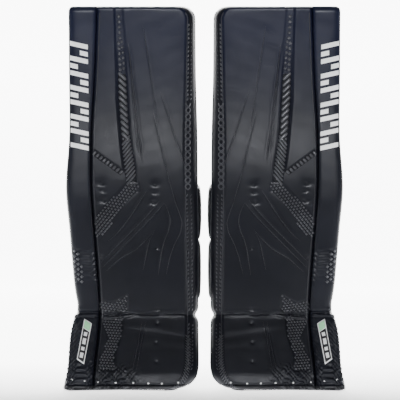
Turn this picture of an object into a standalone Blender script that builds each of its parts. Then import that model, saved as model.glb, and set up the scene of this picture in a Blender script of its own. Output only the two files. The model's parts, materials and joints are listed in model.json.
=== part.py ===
"""A pair of ice-hockey goalie leg pads, standing side by side on their toes.

X runs across the pair, -Y is the front and +Z is up. The origin is on the floor, below the middle of
the pair. Each pad is laid out in three measures of its own, in metres:

    out    the distance from the plane between the two pads
    up     the distance along the curved front face from the boot break, negative down the boot
    deep   the distance behind the front face, square to it
"""

import math

import bmesh
import bpy
from mathutils import Vector

# Side profile of the front face.
HEIGHT = 0.865
BREAK_HEIGHT = 0.168
BREAK_Y = -0.0201
BOOT_TILT = math.radians(28)
SHIN_LEAN = math.radians(14)
THIGH_LEAN = math.radians(6)
KNEE_UP = 0.297
KNEE_BEND_LENGTH = 0.120

# Front outline: (up, outer edge, roll seam, inner seam, inner edge), the last four measured as out.
OUTLINE = (
    (-0.190, 0.319, 0.255, 0.036, 0.014),
    (-0.125, 0.313, 0.252, 0.037, 0.0135),
    (-0.060, 0.308, 0.247, 0.037, 0.015),
    (0.000, 0.300, 0.245, 0.037, 0.019),
    (0.100, 0.305, 0.248, 0.038, 0.0145),
    (0.200, 0.311, 0.254, 0.040, 0.0145),
    (0.297, 0.317, 0.259, 0.041, 0.016),
    (0.420, 0.309, 0.258, 0.041, 0.017),
    (0.560, 0.308, 0.249, 0.038, 0.0205),
    (0.706, 0.307, 0.242, 0.035, 0.0215),
)
OUTER, ROLL_SEAM, INNER_SEAM, INNER, PLAIN = "outer", "roll_seam", "inner_seam", "inner", "plain"
EDGE_COLUMN = {OUTER: 1, ROLL_SEAM: 2, INNER_SEAM: 3, INNER: 4}
TOP_INNER_CORNER = 0.030
TOP_OUTER_CORNER = 0.014
TOE_INNER_CORNER = 0.045
TOE_OUTER_CORNER = 0.016

# Layers of the face, as depths behind it.
GAP = 0.0003
SKIN = 0.0020
STIFFENER = 0.0015
STIFFENER_FRONT = SKIN + GAP
CORE_FRONT = STIFFENER_FRONT + STIFFENER + GAP
CORE_BACK = 0.0403
BACK_COVER_FRONT = CORE_BACK + GAP
BACK_COVER_BACK = BACK_COVER_FRONT + 0.0015
LINER_FRONT = BACK_COVER_BACK + GAP
EDGE_BEVEL_DEPTH = 0.026
ROLL_PROUD = 0.009
BOOT_LINER_FRONT = CORE_BACK + GAP
BOOT_LINER_BACK = 0.056

# The leg channel behind the face: (out), (up) and deep ranges of its cushions, blocks and walls.
THIGH_LINER_OUT = (0.044, 0.234)
THIGH_LINER_BOTTOM, THIGH_LINER_DROP = 0.320, 0.040
THIGH_LINER_BACK = 0.052
SHIN_CUSHION_OUT = (0.066, 0.238)
SHIN_CUSHION_UP = (0.012, 0.290)
SHIN_CUSHION_BACK = 0.056
CALF_WEDGE_OUT = (0.010, 0.062)
CALF_WEDGE_UP = (0.022, 0.162)
CALF_WEDGE_BACK = 0.080
KNEE_BLOCK_OUT = (0.010, 0.062)
KNEE_BLOCK_UP = (0.166, 0.292)
KNEE_BLOCK_FRONT, KNEE_BLOCK_BACK = 0.0445, 0.088
KNEE_PAD_OUT = (0.012, 0.062)
KNEE_PAD_BACK = 0.104
BOOT_LINER_OUT = (0.084, 0.244)
BOOT_INNER_WALL_OUT = (0.058, 0.080)
BOOT_OUTER_WALL_OUT = (0.248, 0.270)
BOOT_WALL_BACK = 0.110
BOOT_TOP = -0.022
BOOT_STRAP_UP = -0.070

# The moving walls: the (out, deep) line each turns on, which is the foot of its outside face.
WALL = 0.022
FLAP_TAPER = 0.35
FLAP_STEPS = 6
HINGE_CLEAR = 0.001
WRAP_TURN = math.radians(28)
CALF_WRAP_UP = (0.032, 0.158)
KNEE_WING_UP = (0.178, 0.284)
INNER_WRAP_HINGE = (0.039, 0.082)
INNER_WRAP_LENGTH = 0.072
OUTER_WRAP_HINGE = (0.267, 0.044)
OUTER_WRAP_LENGTH = 0.105
INNER_WING_HINGE = (0.039, 0.106)
INNER_WING_LENGTH = 0.045
OUTER_WING_HINGE = (0.267, 0.0465)
OUTER_WING_LENGTH = 0.098

# The straps, each turning on a line behind the free edge of an inner wall.
WEB = 0.0025
STRAP_WIDTH = 0.032
STRAP_STEPS = 10
STRAP_GAP = 0.0015
STRAP_FROM_HINGE = 0.016
CALF_STRAP_DEEP = 0.164
CALF_STRAP_END = 0.262
LOWER_CALF_STRAP_UP = 0.062
UPPER_CALF_STRAP_UP = 0.124
KNEE_STRAP_DEEP = 0.162
KNEE_STRAP_END = 0.262
KNEE_STRAP_UP = 0.231

# The toe.
PLATE_MARGIN = 0.002
TAB_OUT = 0.160
TAB_WIDTH = 0.030
TAB_LENGTH = 0.030
TAB_THICKNESS = 0.0025
TAB_ABOVE_FLOOR = 0.0005
EYELET_RADIUS = 0.006

# Height above the floor of the pieces that stop just above the toe binding's plate.
PLATE = 0.003
ABOVE_PLATE = PLATE + GAP
ON_FLOOR = 0.0

BEND_START = KNEE_UP - KNEE_BEND_LENGTH / 2
BEND_END = KNEE_UP + KNEE_BEND_LENGTH / 2
BEND_RADIUS = KNEE_BEND_LENGTH / (SHIN_LEAN - THIGH_LEAN)


def lean(up):
    """Angle of the face from upright at this point, positive where its upper end is further forward."""
    if up < 0:
        return -BOOT_TILT
    share = min(max((up - BEND_START) / KNEE_BEND_LENGTH, 0), 1)
    return SHIN_LEAN + (THIGH_LEAN - SHIN_LEAN) * share


def face_yz(up):
    """(y, z) of the front face: straight boot, straight shin, an arc round the knee, straight thigh."""
    if up < BEND_START:
        angle = lean(up)
        return BREAK_Y - up * math.sin(angle), BREAK_HEIGHT + up * math.cos(angle)
    y, z = BREAK_Y - BEND_START * math.sin(SHIN_LEAN), BREAK_HEIGHT + BEND_START * math.cos(SHIN_LEAN)
    angle = lean(up)
    y -= BEND_RADIUS * (math.cos(angle) - math.cos(SHIN_LEAN))
    z += BEND_RADIUS * (math.sin(SHIN_LEAN) - math.sin(angle))
    beyond = max(up - BEND_END, 0)
    return y - beyond * math.sin(THIGH_LEAN), z + beyond * math.cos(THIGH_LEAN)


TOP_UP = BEND_END + (HEIGHT - face_yz(BEND_END)[1]) / math.cos(THIGH_LEAN)


def up_at_height(height, deep):
    """How far up the boot a point this deep has to be to stand at this height."""
    return (height - BREAK_HEIGHT + deep * math.sin(BOOT_TILT)) / math.cos(BOOT_TILT)


TOE_UP = up_at_height(ABOVE_PLATE, 0)


def rounded(distance_from_end, radius):
    """How far a corner of this radius pulls an edge in, at this distance from the end."""
    into = min(max(radius - distance_from_end, 0), radius)
    return radius - math.sqrt(radius * radius - into * into)


def edge(name, up):
    """Out of one line of the outline at this height: a cubic through its points, with its corners."""
    if name == PLAIN:
        return 0.0
    column = EDGE_COLUMN[name]
    rows = OUTLINE
    i = max(k for k in range(len(rows) - 1) if rows[k][0] <= up or k == 0)
    before, low, high, after = rows[max(i - 1, 0)], rows[i], rows[i + 1], rows[min(i + 2, len(rows) - 1)]
    span = high[0] - low[0]
    t = min(max((up - low[0]) / span, 0), 1)
    start = (high[column] - before[column]) / (high[0] - before[0]) * span
    end = (after[column] - low[column]) / (after[0] - low[0]) * span
    value = (
        (2 * t**3 - 3 * t**2 + 1) * low[column]
        + (t**3 - 2 * t**2 + t) * start
        + (3 * t**2 - 2 * t**3) * high[column]
        + (t**3 - t**2) * end
    )
    if name in (INNER, INNER_SEAM):
        value += rounded(TOP_UP - up, TOP_INNER_CORNER) + rounded(up - TOE_UP, TOE_INNER_CORNER)
    if name == OUTER:
        value -= rounded(TOP_UP - up, TOP_OUTER_CORNER) + rounded(up - TOE_UP, TOE_OUTER_CORNER)
    return value


def place(side, out, up, deep):
    """The world point of a pad's own measures. side is -1 for the right pad and 1 for the left."""
    y, z = face_yz(up)
    angle = lean(up)
    return Vector((side * out, y + deep * math.cos(angle), z + deep * math.sin(angle)))


# ---------------------------------------------------------------- modelling helpers


def clear_scene():
    for obj in list(bpy.data.objects):
        bpy.data.objects.remove(obj, do_unlink=True)


def principled(name, colour, roughness, metallic=0.0):
    material = bpy.data.materials.new(name)
    material.use_nodes = True
    shader = material.node_tree.nodes["Principled BSDF"]
    shader.inputs["Base Color"].default_value = (*colour, 1.0)
    shader.inputs["Roughness"].default_value = roughness
    shader.inputs["Metallic"].default_value = metallic
    return material


def make_materials():
    return {
        "leather": principled("black_synthetic_leather", (0.020, 0.021, 0.026), 0.42),
        "roll_leather": principled("roll_synthetic_leather", (0.022, 0.023, 0.028), 0.38),
        "edge": principled("edge_binding_leather", (0.015, 0.016, 0.020), 0.35),
        "foam": principled("dense_foam", (0.16, 0.16, 0.17), 0.90),
        "plastic": principled("stiffener_plastic", (0.75, 0.75, 0.72), 0.40),
        "nylon": principled("black_nylon", (0.018, 0.018, 0.020), 0.80),
        "lining": principled("channel_lining", (0.035, 0.035, 0.040), 0.85),
        "webbing": principled("strap_webbing", (0.025, 0.025, 0.028), 0.75),
        "badge": principled("badge_fabric", (0.80, 0.82, 0.80), 0.60),
    }


class Pad:
    """One pad of the pair: its side, its collection, its materials and the empties its pieces hang on."""

    def __init__(self, name, side, collection, materials):
        self.name = name
        self.side = side
        self.collection = collection
        self.materials = materials
        self.frames = {
            "shin": self.frame("shin", SHIN_LEAN),
            "boot": self.frame("boot", -BOOT_TILT),
        }

    def frame(self, name, angle):
        """An empty on the face at the boot break, whose Z runs up the face and whose Y runs into the pad."""
        empty = bpy.data.objects.new(f"{self.name}_{name}_frame", None)
        empty.location = (0, BREAK_Y, BREAK_HEIGHT)
        empty.rotation_euler = (angle, 0, 0)
        self.collection.objects.link(empty)
        return empty

    def add(self, name, data, material):
        obj = bpy.data.objects.new(f"{self.name}_{name}", data)
        data.materials.append(self.materials[material])
        self.collection.objects.link(obj)
        return obj

    def loft(self, name, rings, material):
        """A closed solid through rings of world points, which all have the same number of points."""
        bm = bmesh.new()
        rings = [[bm.verts.new(point) for point in ring] for ring in rings]
        count = len(rings[0])
        for low, high in zip(rings, rings[1:]):
            for i in range(count):
                j = (i + 1) % count
                bm.faces.new((low[i], low[j], high[j], high[i]))
        bm.faces.new(rings[0])
        bm.faces.new(rings[-1])
        bmesh.ops.recalc_face_normals(bm, faces=bm.faces)
        bmesh.ops.triangulate(bm, faces=bm.faces, quad_method="SHORT_EDGE")
        mesh = bpy.data.meshes.new(name)
        bm.to_mesh(mesh)
        bm.free()
        mesh.shade_smooth()
        mesh.set_sharp_from_angle(angle=math.radians(35))
        return self.add(name, mesh, material)

    def sweep(self, name, section, stations, material, floor=None):
        """A section of (edge, offset, deep) points carried along the face. With floor, the first ring
        is cut level at that height."""
        rings = []
        if floor is not None:
            ring = []
            for line, offset, deep in section:
                up = up_at_height(floor, deep)
                ring.append(place(self.side, edge(line, max(up, TOE_UP)) + offset, up, deep))
            rings.append(ring)
        for up in stations:
            rings.append([place(self.side, edge(line, up) + offset, up, deep) for line, offset, deep in section])
        return self.loft(name, rings, material)

    def block(self, name, out, up, deep, material, round_edge=0.006):
        """A padded box behind the shin, from ranges of out, up and deep."""
        bpy.ops.mesh.primitive_cube_add(size=1)
        obj = bpy.context.object
        for parent in list(obj.users_collection):
            parent.objects.unlink(obj)
        self.collection.objects.link(obj)
        obj.name = f"{self.name}_{name}"
        obj.data.name = name
        size = (out[1] - out[0], deep[1] - deep[0], up[1] - up[0])
        for vertex in obj.data.vertices:
            vertex.co = [coordinate * length for coordinate, length in zip(vertex.co, size)]
        obj.parent = self.frames["shin"]
        obj.location = (self.side * sum(out) / 2, sum(deep) / 2, sum(up) / 2)
        obj.data.materials.append(self.materials[material])
        bevel = obj.modifiers.new("rounded edges", "BEVEL")
        bevel.width = round_edge
        bevel.segments = 2
        return obj

    def upright(self, name, frame, hinge, outline, up, material):
        """A flat outline of (out, deep) points from the hinge line, standing over a range of up. Its
        origin is on the hinge line."""
        curve = bpy.data.curves.new(name, "CURVE")
        curve.dimensions = "2D"
        curve.fill_mode = "BOTH"
        curve.extrude = (up[1] - up[0]) / 2
        add_outline(curve, [(self.side * out, deep) for out, deep in outline])
        obj = self.add(name, curve, material)
        obj.parent = self.frames[frame]
        obj.location = (self.side * hinge[0], hinge[1], sum(up) / 2)
        return obj

    def flap(self, name, hinge, towards, length, turn, up):
        """A padded wall standing behind the shin. Its face on the hinge line starts straight back and
        turns over the leg, towards +1 away from the middle plane or -1 to it."""
        near, far = [], []
        for i in range(FLAP_STEPS + 1):
            along = length * i / FLAP_STEPS
            angle = turn * i / FLAP_STEPS
            radius = length / turn
            point = Vector((towards * radius * (1 - math.cos(angle)), HINGE_CLEAR + radius * math.sin(angle)))
            across = Vector((towards * math.cos(angle), -math.sin(angle)))
            thickness = WALL * (1 - FLAP_TAPER * along / length)
            near.append(point)
            far.append(point + across * thickness)
        return self.upright(name, "shin", hinge, near + far[::-1], up, "nylon")

    def strap(self, name, frame, start, end_out, up, bow):
        """A flat strap across the channel, from the hinge line it turns on to end_out, bowed backwards.
        up is the height of its middle and bow the depth of its arc."""
        length = end_out - start[0]
        front = []
        for i in range(STRAP_STEPS + 1):
            share = i / STRAP_STEPS
            front.append(Vector((length * share, 4 * share * (1 - share) * bow)))
        back = [point + Vector((0, WEB)) for point in front]
        half = STRAP_WIDTH / 2
        return self.upright(name, frame, start, front + back[::-1], (up - half, up + half), "webbing")


def add_outline(curve, points):
    """One closed straight-sided spline of a 2D curve."""
    spline = curve.splines.new("POLY")
    spline.points.add(len(points) - 1)
    for target, point in zip(spline.points, points):
        target.co = (point[0], point[1], 0, 1)
    spline.use_cyclic_u = True


def circle(centre, radius, steps):
    turn = 2 * math.pi / steps
    return [
        (centre[0] + radius * math.cos(i * turn), centre[1] + radius * math.sin(i * turn)) for i in range(steps)
    ]


def inset(section, by):
    """The same section, smaller all round by this much."""
    inwards = {OUTER: -by, ROLL_SEAM: by, INNER_SEAM: -by, INNER: by}
    middle = CORE_BACK / 2
    return [
        (line, offset + inwards[line], deep + (by if deep < middle else -by)) for line, offset, deep in section
    ]


def skin_of(section, thickness):
    """An open skin that covers a section's outer side, as one closed section."""
    return section + inset(section, thickness)[::-1]


# ---------------------------------------------------------------- the face, from toe to thigh

SHIN_STATIONS = [0.004, 0.060, 0.140, 0.215]
KNEE_STATIONS = [BEND_START + KNEE_BEND_LENGTH * i / 4 for i in range(5)]
THIGH_STATIONS = [0.420, 0.500, 0.590, 0.650]
TOP_CORNER_STATIONS = [TOP_UP - TOP_INNER_CORNER * (1 - share) for share in (0, 0.45, 0.75, 0.92, 1)]
FACE_STATIONS = SHIN_STATIONS + KNEE_STATIONS + THIGH_STATIONS + TOP_CORNER_STATIONS
ROLL_STATIONS = [0.014] + FACE_STATIONS[1:]
LEVEL_UP = up_at_height(ABOVE_PLATE, BOOT_LINER_BACK) + 0.002
BOOT_STATIONS = [LEVEL_UP, -0.152, -0.140, -0.110, -0.060, -0.004]
BOOT_ROLL_STATIONS = BOOT_STATIONS[:-1] + [-0.008]

CORE_SECTION = [
    (ROLL_SEAM, 0.0, CORE_FRONT),
    (INNER_SEAM, 0.0015, CORE_FRONT),
    (INNER, SKIN + GAP, EDGE_BEVEL_DEPTH + SKIN),
    (INNER, SKIN + GAP, CORE_BACK),
    (ROLL_SEAM, 0.0, CORE_BACK),
]
COVER_SECTION = [
    (ROLL_SEAM, 0.0, 0.0),
    (INNER_SEAM, GAP, 0.0),
    (INNER_SEAM, GAP, SKIN),
    (ROLL_SEAM, 0.0, SKIN),
]
EDGE_SECTION = [
    (INNER_SEAM, 0.0, 0.0),
    (INNER, 0.0, EDGE_BEVEL_DEPTH),
    (INNER, 0.0, CORE_BACK),
    (INNER, SKIN, CORE_BACK),
    (INNER, SKIN, EDGE_BEVEL_DEPTH + SKIN / 2),
    (INNER_SEAM, 0.0, SKIN),
]
STIFFENER_SECTION = [
    (ROLL_SEAM, -0.006, STIFFENER_FRONT),
    (INNER_SEAM, 0.006, STIFFENER_FRONT),
    (INNER_SEAM, 0.006, STIFFENER_FRONT + STIFFENER),
    (ROLL_SEAM, -0.006, STIFFENER_FRONT + STIFFENER),
]
ROLL_SECTION = [
    (ROLL_SEAM, 0.0015, 0.004),
    (ROLL_SEAM, 0.0030, -ROLL_PROUD + 0.005),
    (ROLL_SEAM, 0.0090, -ROLL_PROUD),
    (OUTER, -0.0160, -ROLL_PROUD),
    (OUTER, -0.0050, -ROLL_PROUD + 0.005),
    (OUTER, 0.0, 0.006),
    (OUTER, 0.0, CORE_BACK - 0.008),
    (OUTER, -0.0060, CORE_BACK),
    (ROLL_SEAM, 0.0015, CORE_BACK),
]


def thigh_and_shin(pad):
    """The long upper part of the face: foam core, stiffener, skins and the outer roll."""
    pad.sweep("face_core", CORE_SECTION, FACE_STATIONS, "foam")
    pad.sweep("stiffener_plate", STIFFENER_SECTION, FACE_STATIONS[1:-2], "plastic")
    pad.sweep("face_cover", COVER_SECTION, FACE_STATIONS, "leather")
    pad.sweep("inner_edge_gusset", EDGE_SECTION, FACE_STATIONS, "edge")
    pad.sweep("outer_roll_core", inset(ROLL_SECTION, SKIN + 2 * GAP), ROLL_STATIONS, "foam")
    pad.sweep("outer_roll_cover", skin_of(ROLL_SECTION, SKIN), ROLL_STATIONS, "roll_leather")


def back_cover(pad):
    """The nylon sheet behind the core."""
    section = [
        (INNER, 0.0, BACK_COVER_FRONT),
        (ROLL_SEAM, 0.0, BACK_COVER_FRONT),
        (ROLL_SEAM, 0.0, BACK_COVER_BACK),
        (INNER, 0.0, BACK_COVER_BACK),
    ]
    pad.sweep("back_cover", section, FACE_STATIONS, "nylon")


def boot(pad):
    """The short lower part of the face, cut level so that it stands on the toe binding's plate."""
    pad.sweep("boot_core", CORE_SECTION, BOOT_STATIONS, "foam", floor=ABOVE_PLATE)
    pad.sweep("boot_cover", COVER_SECTION, BOOT_STATIONS, "leather", floor=ABOVE_PLATE)
    pad.sweep("boot_edge_gusset", EDGE_SECTION, BOOT_STATIONS, "edge", floor=ABOVE_PLATE)
    pad.sweep(
        "boot_roll_core", inset(ROLL_SECTION, SKIN + 2 * GAP), BOOT_ROLL_STATIONS, "foam", floor=ABOVE_PLATE
    )
    pad.sweep(
        "boot_roll_cover", skin_of(ROLL_SECTION, SKIN), BOOT_ROLL_STATIONS, "roll_leather", floor=ABOVE_PLATE
    )


def plate_back():
    """Y of the toe plate's back edge, just short of where the level cut through the boot core ends."""
    return face_yz(TOE_UP)[0] + CORE_BACK / math.cos(BOOT_TILT) - PLATE_MARGIN


def toe_plate(pad):
    """The wear plate under the toe, flat on the floor."""
    front, back = face_yz(TOE_UP)[0], plate_back()
    low, high = edge(INNER, TOE_UP) + PLATE_MARGIN, edge(OUTER, TOE_UP) - PLATE_MARGIN
    curve = bpy.data.curves.new("toe_plate", "CURVE")
    curve.dimensions = "2D"
    curve.fill_mode = "BOTH"
    curve.extrude = PLATE / 2
    add_outline(curve, [(low, front), (high, front), (high, back), (low, back)])
    obj = pad.add("toe_plate", curve, "edge")
    obj.location = (0, 0, PLATE / 2)
    if pad.side < 0:
        obj.location.x = -low - high


def toe_tab(pad):
    """A tab with an eyelet behind the toe, where a toe tie would be knotted."""
    curve = bpy.data.curves.new("toe_tab", "CURVE")
    curve.dimensions = "2D"
    curve.fill_mode = "BOTH"
    curve.extrude = TAB_THICKNESS / 2
    half = TAB_WIDTH / 2
    round_end = circle((0, 0), half, 24)[:13]
    add_outline(curve, [(half, -TAB_LENGTH), *round_end, (-half, -TAB_LENGTH)])
    add_outline(curve, circle((0, 0), EYELET_RADIUS, 16))
    obj = pad.add("toe_tab", curve, "leather")
    obj.location = (pad.side * TAB_OUT, plate_back() + GAP + TAB_LENGTH, TAB_THICKNESS / 2 + TAB_ABOVE_FLOOR)


# ---------------------------------------------------------------- the leg channel


def upright_section(out, deep):
    """A rectangle of (edge, offset, deep) points, straight along the face."""
    return [(PLAIN, out[0], deep[0]), (PLAIN, out[1], deep[0]), (PLAIN, out[1], deep[1]), (PLAIN, out[0], deep[1])]


def channel_lining(pad):
    """The cushions that the thigh, the shin and the skate lie against."""
    thigh_stations = [THIGH_LINER_BOTTOM] + THIGH_STATIONS[1:] + [TOP_UP - THIGH_LINER_DROP]
    thigh_section = upright_section(THIGH_LINER_OUT, (LINER_FRONT, THIGH_LINER_BACK))
    pad.sweep("thigh_liner", thigh_section, thigh_stations, "lining")
    shin_deep = (KNEE_BLOCK_FRONT, SHIN_CUSHION_BACK)
    pad.block("shin_cushion", SHIN_CUSHION_OUT, SHIN_CUSHION_UP, shin_deep, "lining", 0.005)
    pad.sweep(
        "boot_liner",
        upright_section(BOOT_LINER_OUT, (BOOT_LINER_FRONT, BOOT_LINER_BACK)),
        [BOOT_TOP - 0.070, BOOT_TOP],
        "lining",
        floor=ABOVE_PLATE,
    )


def inner_landing(pad):
    """The firm blocks on the inner side, which meet the ice when the goalie kneels."""
    pad.block("calf_wedge", CALF_WEDGE_OUT, CALF_WEDGE_UP, (LINER_FRONT, CALF_WEDGE_BACK), "leather")
    pad.block("knee_block", KNEE_BLOCK_OUT, KNEE_BLOCK_UP, (KNEE_BLOCK_FRONT, KNEE_BLOCK_BACK), "leather")
    pad.block("knee_pad", KNEE_PAD_OUT, KNEE_BLOCK_UP, (KNEE_BLOCK_BACK + GAP, KNEE_PAD_BACK), "lining")


def boot_walls(pad):
    """The two fixed walls beside the skate, which reach the floor, and the strap between them."""
    for name, out in (("boot_inner_wall", BOOT_INNER_WALL_OUT), ("boot_outer_wall", BOOT_OUTER_WALL_OUT)):
        section = upright_section(out, (BOOT_LINER_FRONT, BOOT_WALL_BACK))
        pad.sweep(name, section, [BOOT_TOP - 0.060, BOOT_TOP], "nylon", floor=ON_FLOOR)
    start = (sum(BOOT_INNER_WALL_OUT) / 2, BOOT_WALL_BACK + STRAP_GAP)
    pad.strap("boot_strap", "boot", start, BOOT_OUTER_WALL_OUT[1], BOOT_STRAP_UP, 0.012)


def calf_and_knee(pad):
    """The padded walls round the calf and the knee, which swing open, and the straps that close them."""
    pad.flap("inner_calf_wrap", INNER_WRAP_HINGE, 1, INNER_WRAP_LENGTH, WRAP_TURN, CALF_WRAP_UP)
    pad.flap("outer_calf_wrap", OUTER_WRAP_HINGE, -1, OUTER_WRAP_LENGTH, WRAP_TURN, CALF_WRAP_UP)
    pad.flap("inner_knee_wing", INNER_WING_HINGE, 1, INNER_WING_LENGTH, WRAP_TURN, KNEE_WING_UP)
    pad.flap("outer_knee_wing", OUTER_WING_HINGE, -1, OUTER_WING_LENGTH, WRAP_TURN, KNEE_WING_UP)
    start = (INNER_WRAP_HINGE[0] + STRAP_FROM_HINGE, CALF_STRAP_DEEP)
    pad.strap("lower_calf_strap", "shin", start, CALF_STRAP_END, LOWER_CALF_STRAP_UP, 0.014)
    pad.strap("upper_calf_strap", "shin", start, CALF_STRAP_END, UPPER_CALF_STRAP_UP, 0.014)
    start = (INNER_WING_HINGE[0] + STRAP_FROM_HINGE, KNEE_STRAP_DEEP)
    pad.strap("knee_strap", "shin", start, KNEE_STRAP_END, KNEE_STRAP_UP, 0.014)


def main():
    clear_scene()
    collection = bpy.data.collections.new("goalie_leg_pads")
    bpy.context.scene.collection.children.link(collection)
    materials = make_materials()
    for name, side in (("right", -1), ("left", 1)):
        pad = Pad(name, side, collection, materials)
        thigh_and_shin(pad)
        back_cover(pad)
        boot(pad)
        toe_plate(pad)
        toe_tab(pad)
        channel_lining(pad)
        inner_landing(pad)
        boot_walls(pad)
        calf_and_knee(pad)


main()
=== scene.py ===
"""The looks of a pair of ice-hockey goalie leg pads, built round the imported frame.

Each pad is laid out in three measures of its own, in metres, as the frame is:

    out    the distance from the plane between the two pads
    up     the distance along the curved front face from the boot break, negative down the boot
    deep   the distance behind the front face, square to it

Surface details are placed by out and height, which is the height above the floor.
"""

import json
import math

import bmesh
import bpy
import numpy as np
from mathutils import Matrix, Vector
from mathutils.bvhtree import BVHTree


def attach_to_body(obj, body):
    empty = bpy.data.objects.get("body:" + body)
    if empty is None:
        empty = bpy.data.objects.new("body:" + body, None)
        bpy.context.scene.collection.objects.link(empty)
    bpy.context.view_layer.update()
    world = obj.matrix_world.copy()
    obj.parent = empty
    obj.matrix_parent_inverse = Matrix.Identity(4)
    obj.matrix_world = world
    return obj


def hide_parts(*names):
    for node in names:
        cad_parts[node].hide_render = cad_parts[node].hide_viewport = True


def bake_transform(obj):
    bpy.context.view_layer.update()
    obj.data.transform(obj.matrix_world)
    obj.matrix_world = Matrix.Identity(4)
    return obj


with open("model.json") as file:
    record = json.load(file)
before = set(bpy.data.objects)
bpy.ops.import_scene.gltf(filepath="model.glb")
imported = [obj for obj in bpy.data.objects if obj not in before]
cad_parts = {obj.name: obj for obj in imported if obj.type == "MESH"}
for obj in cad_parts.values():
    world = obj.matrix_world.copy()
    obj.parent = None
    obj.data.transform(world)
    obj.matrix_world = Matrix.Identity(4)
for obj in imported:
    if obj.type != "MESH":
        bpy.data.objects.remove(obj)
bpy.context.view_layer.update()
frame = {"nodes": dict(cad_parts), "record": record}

JOINTS = {joint["name"]: joint for joint in frame["record"]["behaviour"]["joints"]}
SIDES = (("right", -1), ("left", 1))

# ---------------------------------------------------------------- the shape of the pad

BREAK_Y = JOINTS["right_boot_flex"]["pos_m"][1] - 0.012
BREAK_HEIGHT = JOINTS["right_boot_flex"]["pos_m"][2] + 0.001
BOOT_TILT = math.radians(28)
SHIN_LEAN = math.radians(14)
CREASE_HALF = 0.016
# How far the face leans forward, in degrees, against up.
LEAN = ((-0.25, -28), (-CREASE_HALF, -28), (CREASE_HALF, 14), (0.235, 14), (0.255, 12.8), (0.287, 6.4),
        (0.320, 4.3), (0.351, 3.4), (0.383, 2.4), (0.415, 2.6), (0.447, 3.9), (0.479, 5.6), (0.544, 7.9),
        (0.609, 9.3), (0.674, 10.5), (0.800, 10.5))
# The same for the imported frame's flat faces, which the parts behind the face are fixed to.
FRAME_LEAN = ((-0.25, -28), (-0.001, -28), (0.001, 14), (0.237, 14), (0.357, 6), (0.8, 6))
# Where the face's line is held to the frame, as up, and how many steps are averaged to round its bends.
SHIN_ANCHOR = 0.2
BOOT_ANCHOR = -0.1
SPINE_BLUR = 17
TOP_HEIGHT = 0.869
FLOOR_CUT = 0.0033

OUTLINE_UP = (-0.190, -0.125, -0.060, 0.000, 0.100, 0.200, 0.297, 0.420, 0.560, 0.706)
OUTLINE = {
    "outer": (0.319, 0.313, 0.308, 0.300, 0.305, 0.311, 0.317, 0.309, 0.308, 0.307),
    "roll_seam": (0.255, 0.252, 0.247, 0.245, 0.248, 0.254, 0.259, 0.258, 0.249, 0.242),
    "inner_seam": (0.036, 0.037, 0.037, 0.037, 0.038, 0.040, 0.041, 0.041, 0.038, 0.035),
    "inner": (0.014, 0.0135, 0.0142, 0.0150, 0.0145, 0.0145, 0.016, 0.017, 0.0205, 0.0215),
}
TOP_CORNER = 0.030
TOE_CORNER = 0.080
# How much of the toe's corner is taken off: less than 1 makes it taller than it is wide.
TOE_CORNER_SHARE = 0.56
EDGE_DEEP = 0.026
BACK_DEEP = 0.042
ROLL_PROUD = 0.009


def smooth(x, low, high):
    """0 below low, 1 above high, and a smooth rise between."""
    t = np.clip((np.asarray(x, float) - low) / (high - low), 0, 1)
    return t * t * (3 - 2 * t)


def fall(x, low, high):
    """1 below low, 0 above high, and a smooth fall between."""
    return 1 - smooth(x, low, high)


def bump(x, centre, width):
    """A smooth bump of height 1 round a centre."""
    return np.exp(-(((np.asarray(x, float) - centre) / width) ** 2))


def make_spine(lean):
    """Angle, y and z of the face's line against SPINE_UP, held to the frame at the shin and at the boot."""
    up = SPINE_UP
    angle = np.interp(up, [point[0] for point in lean], np.radians([point[1] for point in lean]))
    padded = np.pad(angle, SPINE_BLUR // 2, mode="edge")
    angle = np.convolve(padded, np.ones(SPINE_BLUR) / SPINE_BLUR, mode="valid")
    step = np.diff(up, prepend=up[0])
    y = np.cumsum(-np.sin(angle) * step)
    z = np.cumsum(np.cos(angle) * step)
    y += BREAK_Y - SHIN_ANCHOR * math.sin(SHIN_LEAN) - np.interp(SHIN_ANCHOR, up, y)
    z += BREAK_HEIGHT + SHIN_ANCHOR * math.cos(SHIN_LEAN) - np.interp(SHIN_ANCHOR, up, z)
    miss_y = BREAK_Y + BOOT_ANCHOR * math.sin(BOOT_TILT) - np.interp(BOOT_ANCHOR, up, y)
    miss_z = BREAK_HEIGHT + BOOT_ANCHOR * math.cos(BOOT_TILT) - np.interp(BOOT_ANCHOR, up, z)
    share = fall(up, -0.03, 0.03)
    return angle, y + miss_y * share, z + miss_z * share


SPINE_UP = np.arange(-0.24, 0.78, 0.0005)
FACE_SPINE = make_spine(LEAN)
FRAME_SPINE = make_spine(FRAME_LEAN)
_, SPINE_Y, SPINE_Z = FACE_SPINE
_, FRAME_Y, FRAME_Z = FRAME_SPINE


def height_at(up):
    return np.interp(up, SPINE_UP, SPINE_Z)


def up_at(height):
    return np.interp(height, SPINE_Z, SPINE_UP)


def place(side, out, up, deep, spine=FACE_SPINE):
    """World points, in an array whose last axis is x, y, z."""
    angle, y, z = (np.interp(up, SPINE_UP, line) for line in spine)
    y, z = y + deep * np.cos(angle), z + deep * np.sin(angle)
    return np.stack(np.broadcast_arrays(side * np.asarray(out, float), y, z), -1)


def frame_place(side, out, up, deep):
    """As place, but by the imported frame's flat faces."""
    return place(side, out, up, deep, FRAME_SPINE)


def back_deep(up):
    """Deep of the pad's back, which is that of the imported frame."""
    return BACK_DEEP + np.interp(up, SPINE_UP, FRAME_Y - SPINE_Y)


def bottom_up(deep):
    """How far up the boot is at the floor, at this depth."""
    return (FLOOR_CUT - BREAK_HEIGHT + deep * math.sin(BOOT_TILT)) / math.cos(BOOT_TILT)


TOP_UP = float(up_at(TOP_HEIGHT))
TOE_UP = float(bottom_up(0.0))


def rounded(distance, radius):
    """How far a corner of this radius pulls in an edge, at this distance from its end."""
    into = np.clip(radius - distance, 0, radius)
    return radius - np.sqrt(radius**2 - into**2)


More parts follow.
